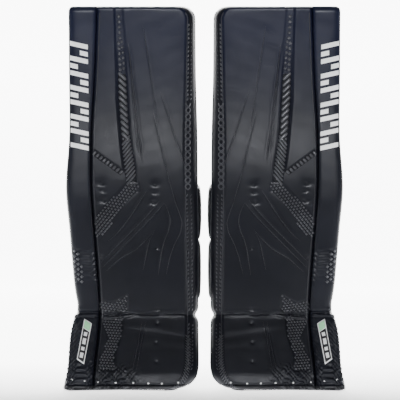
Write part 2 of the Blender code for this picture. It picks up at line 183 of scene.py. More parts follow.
def edge(name, up):
    """Out of one line of the outline, with its rounded corners."""
    up = np.asarray(up, float)
    value = np.interp(up, SPINE_UP, EDGE_LINES[name])
    if name in ("inner", "inner_seam"):
        value = value + rounded(TOP_UP - up, TOP_CORNER) + TOE_CORNER_SHARE * rounded(up - TOE_UP, TOE_CORNER)
    return value


def outline_line(values):
    """One line of the outline, sampled along the spine as a smooth curve through its points."""
    values, marks = np.array(values), np.array(OUTLINE_UP)
    slopes = np.gradient(values, marks)
    up = np.clip(SPINE_UP, marks[0], marks[-1])
    i = np.clip(np.searchsorted(marks, up) - 1, 0, len(values) - 2)
    span = marks[i + 1] - marks[i]
    t = (up - marks[i]) / span
    return (
        (2 * t**3 - 3 * t**2 + 1) * values[i]
        + (t**3 - 2 * t**2 + t) * slopes[i] * span
        + (3 * t**2 - 2 * t**3) * values[i + 1]
        + (t**3 - t**2) * slopes[i + 1] * span
    )


EDGE_LINES = {name: outline_line(values) for name, values in OUTLINE.items()}
# The inner edge is notched at the break. The roll is wider on the boot there, and flares at the toe.
EDGE_LINES["inner"] += 0.0075 * bump(SPINE_UP, 0.0, 0.006)
EDGE_LINES["outer"] += 0.0050 * fall(SPINE_UP, -0.004, 0.004) * smooth(SPINE_UP, -0.16, -0.02)
EDGE_LINES["outer"] += 0.0035 * fall(SPINE_UP, -0.185, -0.13) - 0.0030 * bump(SPINE_UP, 0.020, 0.022)


# ---------------------------------------------------------------- surface details

# The ribbed strip down the thigh: heights, and out of its two edges there.
STRIP_HEIGHT = (0.440, 0.457, 0.469, 0.503, 0.559, 0.600, 0.661, 0.742, 0.800, 0.866)
STRIP_OUTER = (0.186, 0.180, 0.177, 0.181, 0.188, 0.1915, 0.196, 0.197, 0.198, 0.199)
STRIP_INNER = (0.150, 0.152, 0.154, 0.158, 0.167, 0.171, 0.174, 0.177, 0.183, 0.188)
# The row of studs that runs from the roll seam down to the strip.
STUD_ROW = ((0.253, 0.543), (0.190, 0.498))
# The band of studs from the strip down to the roll seam, as its outline.
STUD_BAND = ((0.152, 0.474), (0.176, 0.474), (0.192, 0.457), (0.213, 0.436), (0.250, 0.392), (0.250, 0.340),
             (0.216, 0.374), (0.205, 0.395), (0.184, 0.425), (0.162, 0.446), (0.150, 0.455))
ANKLE_STUDS = ((0.246, 0.203), (0.214, 0.196), (0.180, 0.214), (0.180, 0.176), (0.246, 0.176))
BOOT_STUDS = ((0.238, 0.156), (0.190, 0.156), (0.192, 0.120), (0.206, 0.080), (0.206, 0.044), (0.243, 0.044),
              (0.238, 0.080), (0.222, 0.110))
# Raised lines pressed into the skin: (height, width, points), the points as (out, height) in millimetres.
PRESSED_LINES = (
    (0.0014, 0.0016, ((172, 790), (165, 719), (157, 652), (151, 595), (145, 559), (141, 519))),
    (0.0009, 0.0016, ((167, 723), (162, 665), (156, 593), (151, 548), (149, 530))),
    (0.0004, 0.0022, ((138, 828), (123, 728), (105, 598))),
    (0.0007, 0.0018, ((101, 683), (83, 629), (71, 589), (57, 550), (46, 516), (45, 489))),
    (0.0007, 0.0022, ((117, 638), (106, 590), (92, 530), (80, 478), (65, 425), (56, 400),
                      (51, 383), (55, 360), (69, 333), (80, 303), (89, 261))),
    (0.0018, 0.0018, ((131, 457), (149, 429), (168, 400), (185, 377), (205, 354), (222, 340))),
    (0.0018, 0.0018, ((92, 429), (107, 410), (131, 385), (158, 358), (199, 317), (237, 278))),
    (0.0014, 0.0018, ((102, 434), (120, 412), (144, 387), (166, 365), (206, 326), (239, 291))),
    (0.0013, 0.0018, ((92, 429), (85, 416), (79, 396), (78, 384), (83, 363), (92, 343),
                      (99, 315), (107, 261))),
    (0.0014, 0.0018, ((113, 367), (138, 340), (157, 322), (195, 301), (230, 268))),
    (0.0012, 0.0018, ((116, 363), (128, 338), (135, 305), (142, 273))),
    (0.0011, 0.0016, ((145, 151), (153, 101), (165, 42))),
    (0.0011, 0.0016, ((136, 151), (146, 101), (156, 42))),
)
PRESSED_LINES = [(tall, wide, np.array(points) / 1000) for tall, wide, points in PRESSED_LINES]
# Where the skin is pulled in by a thread: (out, height, size).
TUFTS = (
    (0.234, 0.472, 1.0), (0.231, 0.456, 0.7), (0.230, 0.433, 1.0), (0.113, 0.470, 1.0), (0.113, 0.452, 0.8),
    (0.117, 0.430, 1.1), (0.109, 0.324, 0.5), (0.238, 0.305, 0.5), (0.109, 0.180, 0.5), (0.109, 0.146, 0.6),
    (0.111, 0.104, 0.6), (0.110, 0.062, 0.5),
)
# Where the stitches' ends show along the toe, as (out, height).
STITCH_ENDS = ((0.301, 0.023), (0.272, 0.021), (0.242, 0.021), (0.202, 0.019), (0.162, 0.019), (0.128, 0.018),
               (0.097, 0.018), (0.060, 0.021))
KNEE_HEIGHT = 0.458
# The folds across the boot: how far each stands out, its slope, and its height at FOLD_OUT and width.
FOLD_OUT = 0.15
BOOT_FOLDS = (
    (0.0007, 0.10, 0.140, 0.008),
    (-0.0008, 0.14, 0.128, 0.008),
    (0.0007, 0.05, 0.110, 0.009),
    (-0.0004, 0.0, 0.092, 0.007),
)


def line_distance(out, height, points):
    """Distance of each point from a line through the given points."""
    best = np.full(np.shape(out), 9.0)
    for (ax, az), (bx, bz) in zip(points, points[1:]):
        dx, dz = bx - ax, bz - az
        t = np.clip(((out - ax) * dx + (height - az) * dz) / (dx * dx + dz * dz), 0, 1)
        best = np.minimum(best, np.hypot(out - ax - t * dx, height - az - t * dz))
    return best


def end_distance(out, height, points):
    """Distance of each point from the nearer end of a line."""
    return np.minimum(*(np.hypot(out - x, height - z) for x, z in (points[0], points[-1])))


def inside(out, height, outline):
    """Whether each point is inside a closed outline."""
    result = np.zeros(np.shape(out), bool)
    for (ax, az), (bx, bz) in zip(outline, (*outline[1:], outline[0])):
        if az == bz:
            continue
        crosses = (az > height) != (bz > height)
        result ^= crosses & (out < (bx - ax) * (height - az) / (bz - az) + ax)
    return result


def run_length(points):
    """How far along a line each of its points is."""
    return np.concatenate(((0,), np.cumsum(np.linalg.norm(np.diff(points, axis=0), axis=1))))


def wander(x, z):
    """Slow unevenness, between about -1 and 1, of stuffing under a skin."""
    return (
        np.sin(x * 61 + 1.3 * np.sin(z * 23)) * np.sin(z * 37 + 1.7)
        + 0.6 * np.sin(x * 127 + z * 71 + 0.4) * np.sin(z * 101 - x * 53)
    ) / 1.6


def crinkle(out, height):
    """Short crossing wrinkles of a skin that is pulled together, between about -1 and 1."""
    first = np.sin((height + 0.9 * out) * 560 + 2.4 * np.sin(out * 190 + 1.3 * np.sin(height * 170)))
    second = np.sin((1.1 * height - out) * 430 + 2.0 * np.sin(height * 230 - out * 120))
    return 0.55 * first + 0.45 * first * second + 0.30 * second


def bed(out, height, outline, margin=0.003):
    """1 inside an outline of studs, falling to 0 outside it."""
    distance = line_distance(out, height, (*outline, outline[0]))
    return np.where(inside(out, height, outline), 1.0, fall(distance, 0, margin))


def strip_at(height):
    """Out of the ribbed strip's outer and inner edges."""
    return np.interp(height, STRIP_HEIGHT, STRIP_OUTER), np.interp(height, STRIP_HEIGHT, STRIP_INNER)


def panels(out, height):
    """The smooth panel beside the roll, the sunk channel of the ribbed strip, and the panel beyond it."""
    strip_out, strip_in = strip_at(height)
    (row_out, row_height), (row_end, row_low) = STUD_ROW
    row = row_low + (row_height - row_low) * (out - row_end) / (row_out - row_end)
    relief = 0.0030 * smooth(out - strip_out, 0.0, 0.007) * smooth(height - row, 0.004, 0.010)
    in_strip = smooth(strip_out - out, -0.001, 0.002) * smooth(out - strip_in, -0.001, 0.002)
    relief -= 0.0026 * in_strip * smooth(height, 0.472, 0.480) * fall(height, 0.70, 0.80)
    return relief + 0.0010 * smooth(strip_in - out, 0.0, 0.007) * smooth(height, 0.47, 0.52)


def pressed(out, height):
    """The ridges of the pressed lines, with a groove along both their sides."""
    relief = 0.0
    for tall, wide, points in PRESSED_LINES:
        distance = line_distance(out, height, points)
        tall = tall * smooth(end_distance(out, height, points), 0.0, 0.035)
        relief += 0.45 * tall * bump(distance, 0, wide)
        relief -= 0.30 * tall * bump(distance, wide * 2.6, wide * 1.4)
    return relief


def pulled_in(out, height):
    """The pits of the tufts, with a faint swelling below each."""
    relief = 0.0
    for tuft_out, tuft_height, size in TUFTS:
        near = np.hypot((out - tuft_out) / 1.3, height - tuft_height)
        low = np.hypot((out - tuft_out) / 1.4, height - tuft_height + 0.0075)
        relief -= 0.0056 * size * np.exp(-near / (0.0052 * size))
        relief += 0.0008 * size * bump(low, 0, 0.0060)
    return relief


def toe_binding(height, tall):
    """The bound edge along the toe, and the groove above it."""
    return tall * fall(height, 0.0112, 0.0130) - 0.0016 * bump(height, 0.0150, 0.0016)


def face_relief(out, up):
    """How far the skin stands out of the face, in metres."""
    height = height_at(up)
    seam, inner = edge("roll_seam", up), edge("inner_seam", up)
    across = (seam - out) / np.maximum(seam - inner, 1e-4)
    from_seam, from_inner = seam - out, out - inner
    relief = 0.0035 * (1 - np.abs(2 * across - 0.9) ** 3)
    relief = relief - 0.0014 * fall(from_seam, 0, 0.006) - 0.0046 * bump(from_seam, 0, 0.0020)
    relief -= 0.0035 * fall(from_inner, 0, 0.009)
    relief += panels(out, height) + pressed(out, height) + pulled_in(out, height)
    for outline in (STUD_BAND, ANKLE_STUDS, BOOT_STUDS):
        relief -= 0.0012 * bed(out, height, outline)
    # the knee: the thigh overhangs the shin
    relief += 0.0022 * smooth(height, KNEE_HEIGHT - 0.030, KNEE_HEIGHT + 0.030)
    # the break between shin and boot, and the folds of the boot
    fold = up + 0.0014 * np.sin(out * 63) + 0.0007 * np.sin(out * 171 + 1)
    fold_deep = 0.0024 + 0.0009 * np.sin(out * 93 + 2) + 0.0006 * np.sin(out * 231)
    relief -= fold_deep * bump(fold, 0.001, 0.0032)
    on_boot = fall(up, -0.020, -0.004)
    for tall, slope, at, wide in BOOT_FOLDS:
        fold = tall * bump(height + slope * (FOLD_OUT - out), at, wide)
        relief += on_boot * fold * smooth(0.185 - out, -0.02, 0.03)
    # the toe rolls over, with a bound edge below and crinkles beside the roll
    relief -= 0.0066 * fall(up - TOE_UP, 0.002, 0.044)
    wrinkles = crinkle(out, height)
    relief += 0.0018 * wrinkles * fall(height, 0.040, 0.066) * smooth(out, 0.130, 0.200)
    relief += 0.0011 * wrinkles * bump(up, 0.0, 0.014) * smooth(out, 0.150, 0.200)
    relief += 0.00022 * wander(out, height) * (1 + 1.5 * on_boot) + toe_binding(height, 0.0030)
    return relief - rounded(up - TOE_UP, 0.004) - rounded(TOP_UP - up, 0.007)


def face_front(out, up):
    """Deep of the face's front surface."""
    return -face_relief(out, up)


# How square the roll is on its outer side, at the seam with the face, and behind.
ROLL_POWER = 3.6
SEAM_POWER = 7.0
BACK_POWER = 5.0
# The corners of the boot roll's patch, and the outline of the dots above the ankle, as (out, height).
PATCH_CORNERS = ((0.292, 0.066), (0.275, 0.055), (0.261, 0.144), (0.279, 0.155))
ROLL_DOTS = ((0.303, 0.326), (0.288, 0.322), (0.278, 0.262), (0.278, 0.244), (0.300, 0.244))


def roll_relief(out, up):
    """How far the skin stands out of the roll."""
    height = height_at(up)
    across = out - edge("roll_seam", up)
    turns = 2 * math.pi
    relief = 0.0003 * wander(out * 0.7, height) - 0.0010 * bed(out, height, ROLL_DOTS)
    # curved ribs beside the dots above the ankle
    zone = smooth(height, 0.238, 0.252) * fall(height, 0.312, 0.330) * fall(out - 0.72 * height, 0.070, 0.082)
    relief += 0.0017 * zone * np.sin((height + 0.9 * across - 6 * across**2) * turns / 0.0125)
    # ribs slanting across the boot's roll, and crinkles at its toe and at the break
    ribs = np.sin((height + 1.2 * across) * turns / 0.0100) * smooth(across, 0.026, 0.036)
    ribs += 0.35 * np.sin((height + across) * turns / 0.0082) * fall(across, 0.004, 0.012)
    wrinkles = crinkle(out, height)
    boot_zone = fall(up, -0.030, -0.020) * (1 - bed(out, height, PATCH_CORNERS, 0.004))
    relief += boot_zone * 0.0024 * (ribs + wrinkles * (0.45 + 0.55 * fall(height, 0.044, 0.066)))
    relief += 0.0014 * wrinkles * bump(up, 0.0, 0.018)
    # the break: a groove between two swellings, and a crease below them
    relief = relief - 0.0050 * bump(up, 0.004, 0.0040) + 0.0012 * bump(up, 0.015, 0.006)
    relief = relief - 0.0022 * bump(up, -0.009, 0.0030) + toe_binding(height, 0.0024)
    return relief - 0.0060 * fall(up - TOE_UP, 0.004, 0.045)


def roll_section(up):
    """The roll's section: out of its middle and half its width, deep of its middle and half its depth."""
    seam, outer, back = edge("roll_seam", up), edge("outer", up), back_deep(up)
    return (seam + outer) / 2, (outer - seam) / 2, (back - ROLL_PROUD) / 2, (back + ROLL_PROUD) / 2


def roll_front(out, up):
    """Deep of the roll's front surface."""
    centre, half, middle, reach = roll_section(up)
    share = np.clip(np.abs((out - centre) / half), 0, 0.999)
    power = np.where(out < centre, SEAM_POWER, ROLL_POWER)
    return middle - reach * (1 - share**power) ** (1 / power) - roll_relief(out, up)


# ---------------------------------------------------------------- building meshes


def linked(name, data):
    """A new object of the whole scene."""
    obj = bpy.data.objects.new(name, data)
    bpy.context.scene.collection.objects.link(obj)
    return obj


def object_from(name, vertices, faces, materials, indices=None):
    """A smooth-shaded mesh object with its faces turned outwards."""
    mesh = bpy.data.meshes.new(name)
    mesh.from_pydata(np.asarray(vertices, float).tolist(), [], faces)
    for material in materials:
        mesh.materials.append(material)
    if indices is not None:
        mesh.polygons.foreach_set("material_index", np.asarray(indices, np.int32))
    mesh.shade_smooth()
    mesh.update()
    turn_outwards(mesh)
    return linked(name, mesh)


def turn_outwards(mesh):
    """Flips a closed mesh whose faces point inwards."""
    mesh.calc_loop_triangles()
    triangles = np.empty(len(mesh.loop_triangles) * 3, np.int32)
    mesh.loop_triangles.foreach_get("vertices", triangles)
    points = np.empty(len(mesh.vertices) * 3, np.float32)
    mesh.vertices.foreach_get("co", points)
    corners = points.reshape(-1, 3).astype(float)[triangles.reshape(-1, 3)]
    volume = np.einsum("ij,ij->i", corners[:, 0], np.cross(corners[:, 1], corners[:, 2])).sum()
    if volume < 0:
        mesh.flip_normals()


def grid_faces(rows, columns):
    """Quads between closed rings of points, ring by ring."""
    i = np.arange(rows - 1)[:, None] * columns
    j = np.arange(columns)[None, :]
    after = (j + 1) % columns
    return np.stack((i + j, i + after, i + columns + after, i + columns + j), -1).reshape(-1, 4).tolist()


def tube(name, rings, materials, kinds):
    """A closed tube through rings, with a flat cap at both ends. kinds gives each column's material."""
    rows, columns = rings.shape[:2]
    faces = grid_faces(rows, columns)
    faces += [list(range(columns)), list(range((rows - 1) * columns, rows * columns))]
    return object_from(name, rings.reshape(-1, 3), faces, materials, kinds * (rows - 1) + [0, 0])


class Bits:
    """Many small closed solids gathered into one mesh."""

    def __init__(self):
        self.vertices, self.faces = [], []

    def rings(self, rings):
        """Rings of points joined in order, and closed at both ends."""
        rings = np.asarray(rings, float)
        rows, columns = rings.shape[:2]
        faces = grid_faces(rows, columns)
        faces += [list(range(columns))[::-1], list(range((rows - 1) * columns, rows * columns))]
        start = len(self.vertices)
        self.vertices += rings.reshape(-1, 3).tolist()
        self.faces += [[start + i for i in face] for face in faces]

    def build(self, name, material):
        obj = object_from(name, self.vertices, self.faces, [material])
        bm = bmesh.new()
        bm.from_mesh(obj.data)
        bmesh.ops.recalc_face_normals(bm, faces=bm.faces)
        bm.to_mesh(obj.data)
        bm.free()
        return obj


def attach(bits, side, kind, material, body):
    """Builds the bits as one piece of this side, riding on one of its bodies."""
    name = SIDE_NAME[side] + "_"
    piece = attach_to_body(bits.build(name + kind, material), name + body)
    return piece


def surface_frames(side, out, height, surface):
    """Points on a front surface, with the directions across it, up it and out of it."""
    out, up = np.atleast_1d(out).astype(float), np.atleast_1d(up_at(height)).astype(float)
    reach = 0.003

    def skin(out, up):
        return place(side, out, up, surface(out, up))

    across = skin(out + reach, up) - skin(out - reach, up)
    normal = side * np.cross(across, skin(out, up + reach) - skin(out, up - reach))
    across /= np.linalg.norm(across, axis=1)[:, None]
    normal /= np.linalg.norm(normal, axis=1)[:, None]
    return skin(out, up), across, side * np.cross(normal, across), normal


STUD_SINK = 0.0012
QUADRANTS = np.array(((1, 1), (-1, 1), (-1, -1), (1, -1)))


def studs(bits, side, out, height, surface, width, length, turn, tall, corners=1):
    """Low blunt studs, each turned by an angle on the skin: square where corners is 1, rounded above that."""
    point, across, along, normal = surface_frames(side, out, height, surface)
    sizes = (np.broadcast_to(np.asarray(value, float), len(point)) for value in (width, length, turn, tall))
    if corners == 1:
        angles, stretch = np.array((0.25, 0.75, 1.25, 1.75)) * math.pi, math.sqrt(2)
    else:
        quarter = np.linspace(0, math.pi / 2, corners)
        angles, stretch = np.concatenate([quarter + k * math.pi / 2 for k in range(4)]), 1
    signs = np.repeat(QUADRANTS, corners, axis=0)
    for i, (wide, long, angle, rise) in enumerate(zip(*sizes)):
        u = across[i] * math.cos(angle) + along[i] * math.sin(angle)
        v = along[i] * math.cos(angle) - across[i] * math.sin(angle)
        radius = min(wide, long) / 2
        centre = signs * (wide / 2 - radius, long / 2 - radius)
        rings = []
        for share, level in ((1.0, -STUD_SINK), (1.0, 0.0), (0.74, 0.7 * rise), (0.36, rise)):
            spot = centre + stretch * radius * share * np.stack((np.cos(angles), np.sin(angles)), 1)
            rings.append(point[i] + spot[:, :1] * u + spot[:, 1:] * v + normal[i] * level)
        bits.rings(rings)


def lattice(outline, pitch_along, pitch_across, turn):
    """Points of a turned grid inside an outline, with every second row shifted by half a pitch."""
    points = np.array(outline)
    centre, size = points.mean(0), 0.15
    a, b = np.meshgrid(np.arange(-size, size, pitch_along), np.arange(-size, size, pitch_across))
    a = a + 0.5 * pitch_along * (np.arange(a.shape[0]) % 2)[:, None]
    out = centre[0] + a * math.cos(turn) - b * math.sin(turn)
    height = centre[1] + a * math.sin(turn) + b * math.cos(turn)
    keep = inside(out, height, outline)
    return out[keep], height[keep]


SHEET_THICK = 0.0010


def ribbon(bits, side, left, right, surface, lift, columns=8):
    """A thin flexible plate laid over a front surface, between two lines of (out, height) points."""
    t = np.linspace(0, 1, columns)[None, :, None]
    spot = left[:, None] * (1 - t) + right[:, None] * t
    out, up = spot[..., 0], up_at(spot[..., 1])
    deep = surface(out, up) - lift
    top, bottom = place(side, out, up, deep), place(side, out, up, deep + SHEET_THICK)
    bits.rings(np.concatenate((top, bottom[:, ::-1]), 1))


def patch(bits, side, corners, surface, lift, rows, columns):
    """A four-sided ribbon. corners are its four corners as (out, height), in order."""
    a, b, c, d = (np.array(corner) for corner in corners)
    along = np.linspace(0, 1, rows)[:, None]
    ribbon(bits, side, a + (d - a) * along, b + (c - b) * along, surface, lift, columns)


def rope(bits, points, radius, sides=6):
    """A round cord through points."""
    points = np.asarray(points, float)
    tangent = np.gradient(points, axis=0)
    tangent /= np.linalg.norm(tangent, axis=1)[:, None]
    reference = np.array((0.13, 0.97, 0.21))
    u = np.cross(tangent, reference)
    u /= np.linalg.norm(u, axis=1)[:, None]
    v = np.cross(tangent, u)
    radius = np.broadcast_to(radius, len(points))[:, None]
    turns = np.linspace(0, 2 * math.pi, sides, endpoint=False)
    rings = [points + radius * (u * math.cos(turn) + v * math.sin(turn)) for turn in turns]
    bits.rings(np.stack(rings, 1))


# ---------------------------------------------------------------- materials


class Nodes:
    """A material's node tree, with short calls for the nodes that these materials use."""

    def __init__(self, name, roughness, specular, sheen=0.0):
        self.material = bpy.data.materials.new(name)
        self.material.use_nodes = True
        self.tree = self.material.node_tree
        self.shader = self.tree.nodes["Principled BSDF"]
        self.fill(self.shader, {"Roughness": roughness, "Specular IOR Level": specular})
        self.fill(self.shader, {"Sheen Weight": sheen, "Sheen Roughness": 0.5})
        self.place = self.add("ShaderNodeTexCoord").outputs["Object"]

    def fill(self, node, inputs):
        """Links or sets a node's inputs, by their names or numbers."""
        for key, value in inputs.items():
            if isinstance(value, bpy.types.NodeSocket):
                self.tree.links.new(value, node.inputs[key])
            else:
                node.inputs[key].default_value = value

    def add(self, kind, inputs=None, **settings):
        node = self.tree.nodes.new(kind)
        for key, value in settings.items():
            setattr(node, key, value)
        self.fill(node, inputs or {})
        return node

    def noise(self, scale, detail=3.0, roughness=0.5):
        inputs = {"Vector": self.place, "Scale": scale, "Detail": detail, "Roughness": roughness}
        return self.add("ShaderNodeTexNoise", inputs).outputs["Fac"]

    def cells(self, scale, feature="F1"):
        node = self.add("ShaderNodeTexVoronoi", {"Vector": self.place, "Scale": scale}, feature=feature)
        return node.outputs["Distance"]

    def axis(self, name):
        return self.add("ShaderNodeSeparateXYZ", {"Vector": self.place}).outputs[name]

    def ramp(self, value, stops):
        node = self.add("ShaderNodeValToRGB", {"Fac": value})
        elements = node.color_ramp.elements
        while len(elements) < len(stops):
            elements.new(0.5)
        for element, (position, colour) in zip(elements, stops):
            element.position = position
            element.color = (*colour, 1) if isinstance(colour, tuple) else (colour, colour, colour, 1)
        return node.outputs["Color"]

    def maths(self, operation, a, b, kind="ShaderNodeMath"):
        return self.add(kind, {0: a, 1: b}, operation=operation).outputs[0]

    def bumps(self, height, distance, strength=1.0, after=None):
        node = self.add("ShaderNodeBump", {"Height": height, "Distance": distance, "Strength": strength})
        if after:
            self.fill(node, {"Normal": after})
        return node.outputs["Normal"]

    def finish(self, colour, roughness=None, normal=None):
        inputs = {"Base Color": colour, "Roughness": roughness, "Normal": normal}
        self.fill(self.shader, {key: value for key, value in inputs.items() if value})
        return self.material


def leather(name, dark, light, shine, grain=1.0, specular=0.25, painted_cool_top_light=False):
    """Synthetic leather: pebbled grain, faint creases, a varying polish. The last flag turns it bluer at the
    top, a painted cool light from above.
    """
    n = Nodes(name, shine, specular)
    n.fill(n.shader, {"Specular Tint": (0.93, 0.95, 1.0, 1)})
    colour = n.ramp(n.noise(14, 4, 0.55), ((0.30, dark), (0.72, light)))
    if painted_cool_top_light:
        # painted light: the colour turns bluer towards the top, as under a cool light from above
        painted_blue_top = n.ramp(n.axis("Z"), ((0.60, (0.0, 0.0, 0.0)), (0.82, (0.0, 0.0010, 0.0105))))
        colour = n.maths("ADD", colour, painted_blue_top, "ShaderNodeVectorMath")
    polish = n.ramp(n.noise(38, 5, 0.6), ((0.25, shine - 0.05), (0.80, shine + 0.09)))
    normal = n.bumps(n.cells(1150), 0.00012 * grain, 0.55)
    normal = n.bumps(n.noise(170, 5, 0.65), 0.00022 * grain, 0.5, normal)
    return n.finish(colour, polish, normal)


def woven(name, dark, light, pitch, rough):
    """Woven nylon: two crossed sets of threads."""
    n = Nodes(name, rough, 0.3)
    inputs = {"Vector": n.place, "Scale": 1 / pitch / 3.0, "Distortion": 0.4, "Detail": 1.0}
    waves = [
        n.add("ShaderNodeTexWave", inputs, wave_type="BANDS", bands_direction=direction).outputs["Fac"]
        for direction in ("X", "Z")
    ]
    weave = n.maths("MULTIPLY", *waves)
    fuzz = n.noise(420, 4, 0.6)
    colour = n.ramp(n.maths("MULTIPLY", n.maths("ADD", weave, 0.4), fuzz), ((0.05, dark), (0.75, light)))
    normal = n.bumps(fuzz, 0.0002, 0.5, n.bumps(weave, 0.0004, 0.7))
    return n.finish(colour, None, normal)


def brushed_knit(name, dark, light):
    """The soft lining of the leg channel: a short pile over small quilted cells."""
    n = Nodes(name, 0.9, 0.15, sheen=0.06)
    pile, cells = n.noise(620, 5, 0.7), n.cells(210, "SMOOTH_F1")
    tone = n.maths("ADD", n.maths("MULTIPLY", pile, 0.6), n.maths("MULTIPLY", cells, 0.5))
    normal = n.bumps(pile, 0.0003, 0.6, n.bumps(cells, 0.0009, 0.6))
    return n.finish(n.ramp(tone, ((0.2, dark), (0.8, light))), None, normal)


def printed(name, colour, worn, rough=0.5):
    """A print or a patch with a slightly worn, mottled surface."""
    n = Nodes(name, rough, 0.35)
    mix = n.ramp(n.noise(260, 5, 0.7), ((0.28, worn), (0.46, colour)))
    return n.finish(mix, None, n.bumps(n.noise(700, 4, 0.6), 0.0001, 0.6))


FACE = leather("face_leather", (0.0050, 0.0055, 0.0085), (0.0085, 0.0092, 0.0135), 0.34, painted_cool_top_light=True)
ROLL = leather("roll_leather", (0.0050, 0.0056, 0.0095), (0.0088, 0.0098, 0.0155), 0.35, painted_cool_top_light=True)
TRIM = leather("trim_leather", (0.0045, 0.0048, 0.0075), (0.0080, 0.0086, 0.0125), 0.38, 1.4)
# painted highlight: a lighter copy of the face leather, so the pressed lines and the piping look lit
STUD_PAINTED_HIGHLIGHT = leather("stud_leather_painted_highlight", (0.0100, 0.0104, 0.0140), (0.0180, 0.0186, 0.0240), 0.33, 0.5, 0.6)
# painted highlight: the studs and ribs are the face's black leather made several times lighter, to look lit
RIB_PAINTED_HIGHLIGHT = leather("raised_rib_leather_painted_highlight", (0.0300, 0.0312, 0.0370), (0.0540, 0.0556, 0.0640), 0.32, 0.5, 0.8)
# painted highlight: lighter grey than the face leather, so the braid, stitches and lacing look lit
LACE_PAINTED_HIGHLIGHT = leather("lace_leather_painted_highlight", (0.0240, 0.0248, 0.0300), (0.0520, 0.0535, 0.0620), 0.34, 1.0, 0.5)
# painted shade: a dull copy of the face leather for the sheets over the sunk channels
RECESS_PAINTED_SHADE = leather("recess_leather_painted_shade", (0.0052, 0.0056, 0.0078), (0.0090, 0.0096, 0.0125), 0.56, 1.0, 0.16)
BINDING = leather("binding_leather", (0.0200, 0.0205, 0.0235), (0.0360, 0.0366, 0.0410), 0.40, 1.2, 0.4)
BLOCK = leather("block_leather", (0.0080, 0.0082, 0.0100), (0.0150, 0.0152, 0.0180), 0.45, 1.6)
NYLON = woven("nylon_cloth", (0.0035, 0.0036, 0.0045), (0.012, 0.0122, 0.0145), 0.0012, 0.72)
WEBBING = woven("strap_webbing_weave", (0.004, 0.004, 0.005), (0.020, 0.020, 0.023), 0.0022, 0.66)
LINING = brushed_knit("channel_lining_pile", (0.009, 0.009, 0.0105), (0.030, 0.030, 0.034))
HOOKS = brushed_knit("hook_and_loop_pile", (0.006, 0.006, 0.007), (0.018, 0.018, 0.020))
WHITE = printed("white_print", (0.93, 0.94, 0.95), (0.80, 0.81, 0.82))
MINT = printed("mint_print", (0.36, 0.78, 0.45), (0.27, 0.62, 0.34))
DARK = printed("dark_patch", (0.012, 0.012, 0.015), (0.022, 0.022, 0.026), 0.55)
THREAD = printed("pale_thread", (0.40, 0.41, 0.43), (0.22, 0.22, 0.24), 0.45)


# ---------------------------------------------------------------- the face and the outer roll


def level_toe(v, deep):
    """Up of a point in row v: the last rows of the boot turn until they are level with the floor."""
    return v + deep * math.tan(BOOT_TILT) * fall(v, TOE_UP, TOE_UP + 0.055)


def row_ups(step):
    """Rows along the pad, closer together at its rounded ends and at the break."""
    ups = np.arange(TOE_UP, TOP_UP, step)
    ends = 0.010 * (1 - np.cos(np.linspace(0, math.pi / 2, 9)))
    fold = np.arange(-0.012, 0.0121, 0.0008)
    plain = ups[(ups > TOE_UP + 0.011) & (ups < TOP_UP - 0.011) & (np.abs(ups) > 0.0125)]
    return np.unique(np.concatenate((plain, TOE_UP + ends, TOP_UP - ends, fold)))


FRONT_COLUMNS = 132
BINDING_TOP = 0.0118


def bind_toe(skin, index):
    """The lowest rows of a skin take the material of the toe's binding."""
    for polygon in skin.data.polygons:
        if polygon.center.z < BINDING_TOP:
            polygon.material_index = index
    return skin


def face_body(side):
    """The big face with its gusset along the inner edge and its flat back, closed."""
    v = row_ups(0.0017)[:, None]
    back = back_deep(v)
    pull = rounded(np.minimum(v - TOE_UP, TOP_UP - v), 0.006)
    inner, inner_seam, seam = edge("inner", v), edge("inner_seam", v), edge("roll_seam", v)

    def columns(out, deep):
        return np.stack(np.broadcast_arrays(out, deep), -1)

    out = inner_seam + (seam - inner_seam) * np.linspace(0, 1, FRONT_COLUMNS)[None, :]
    front = columns(out, face_front(out, v))
    wall = columns(seam, back * np.array(((0.35, 0.65, 0.9),)))
    across = np.linspace(1, 0, 12)[None, :]
    rear = columns(inner + 0.006 + (seam - inner - 0.007) * across, back - pull)
    corner = np.linspace(0, math.pi / 2, 5)[None, 1:]
    turn = columns(inner + pull + 0.006 * (1 - np.sin(corner)), back - pull - 0.006 * (1 - np.cos(corner)))
    rise = np.linspace(0, 1, 16)[None, 1:-1]
    swell = 0.0021 * np.sin(math.pi * rise)
    gusset = columns(
        inner + pull + (inner_seam - inner - pull) * rise - swell,
        EDGE_DEEP + (face_front(inner_seam, v) - EDGE_DEEP) * rise - swell,
    )
    ring = np.concatenate((front, wall, rear, turn, gusset), 1)
    out, deep = ring[..., 0], ring[..., 1]
    on_back = wall.shape[1] + rear.shape[1] + turn.shape[1] - 1
    kinds = [0] * (FRONT_COLUMNS - 1) + [1] * on_back + [2] * (gusset.shape[1] + 2)
    rings = place(side, out, level_toe(v, deep), deep)
    return bind_toe(tube(SIDE_NAME[side] + "_face_skin", rings, [FACE, NYLON, TRIM, BINDING], kinds), 3)


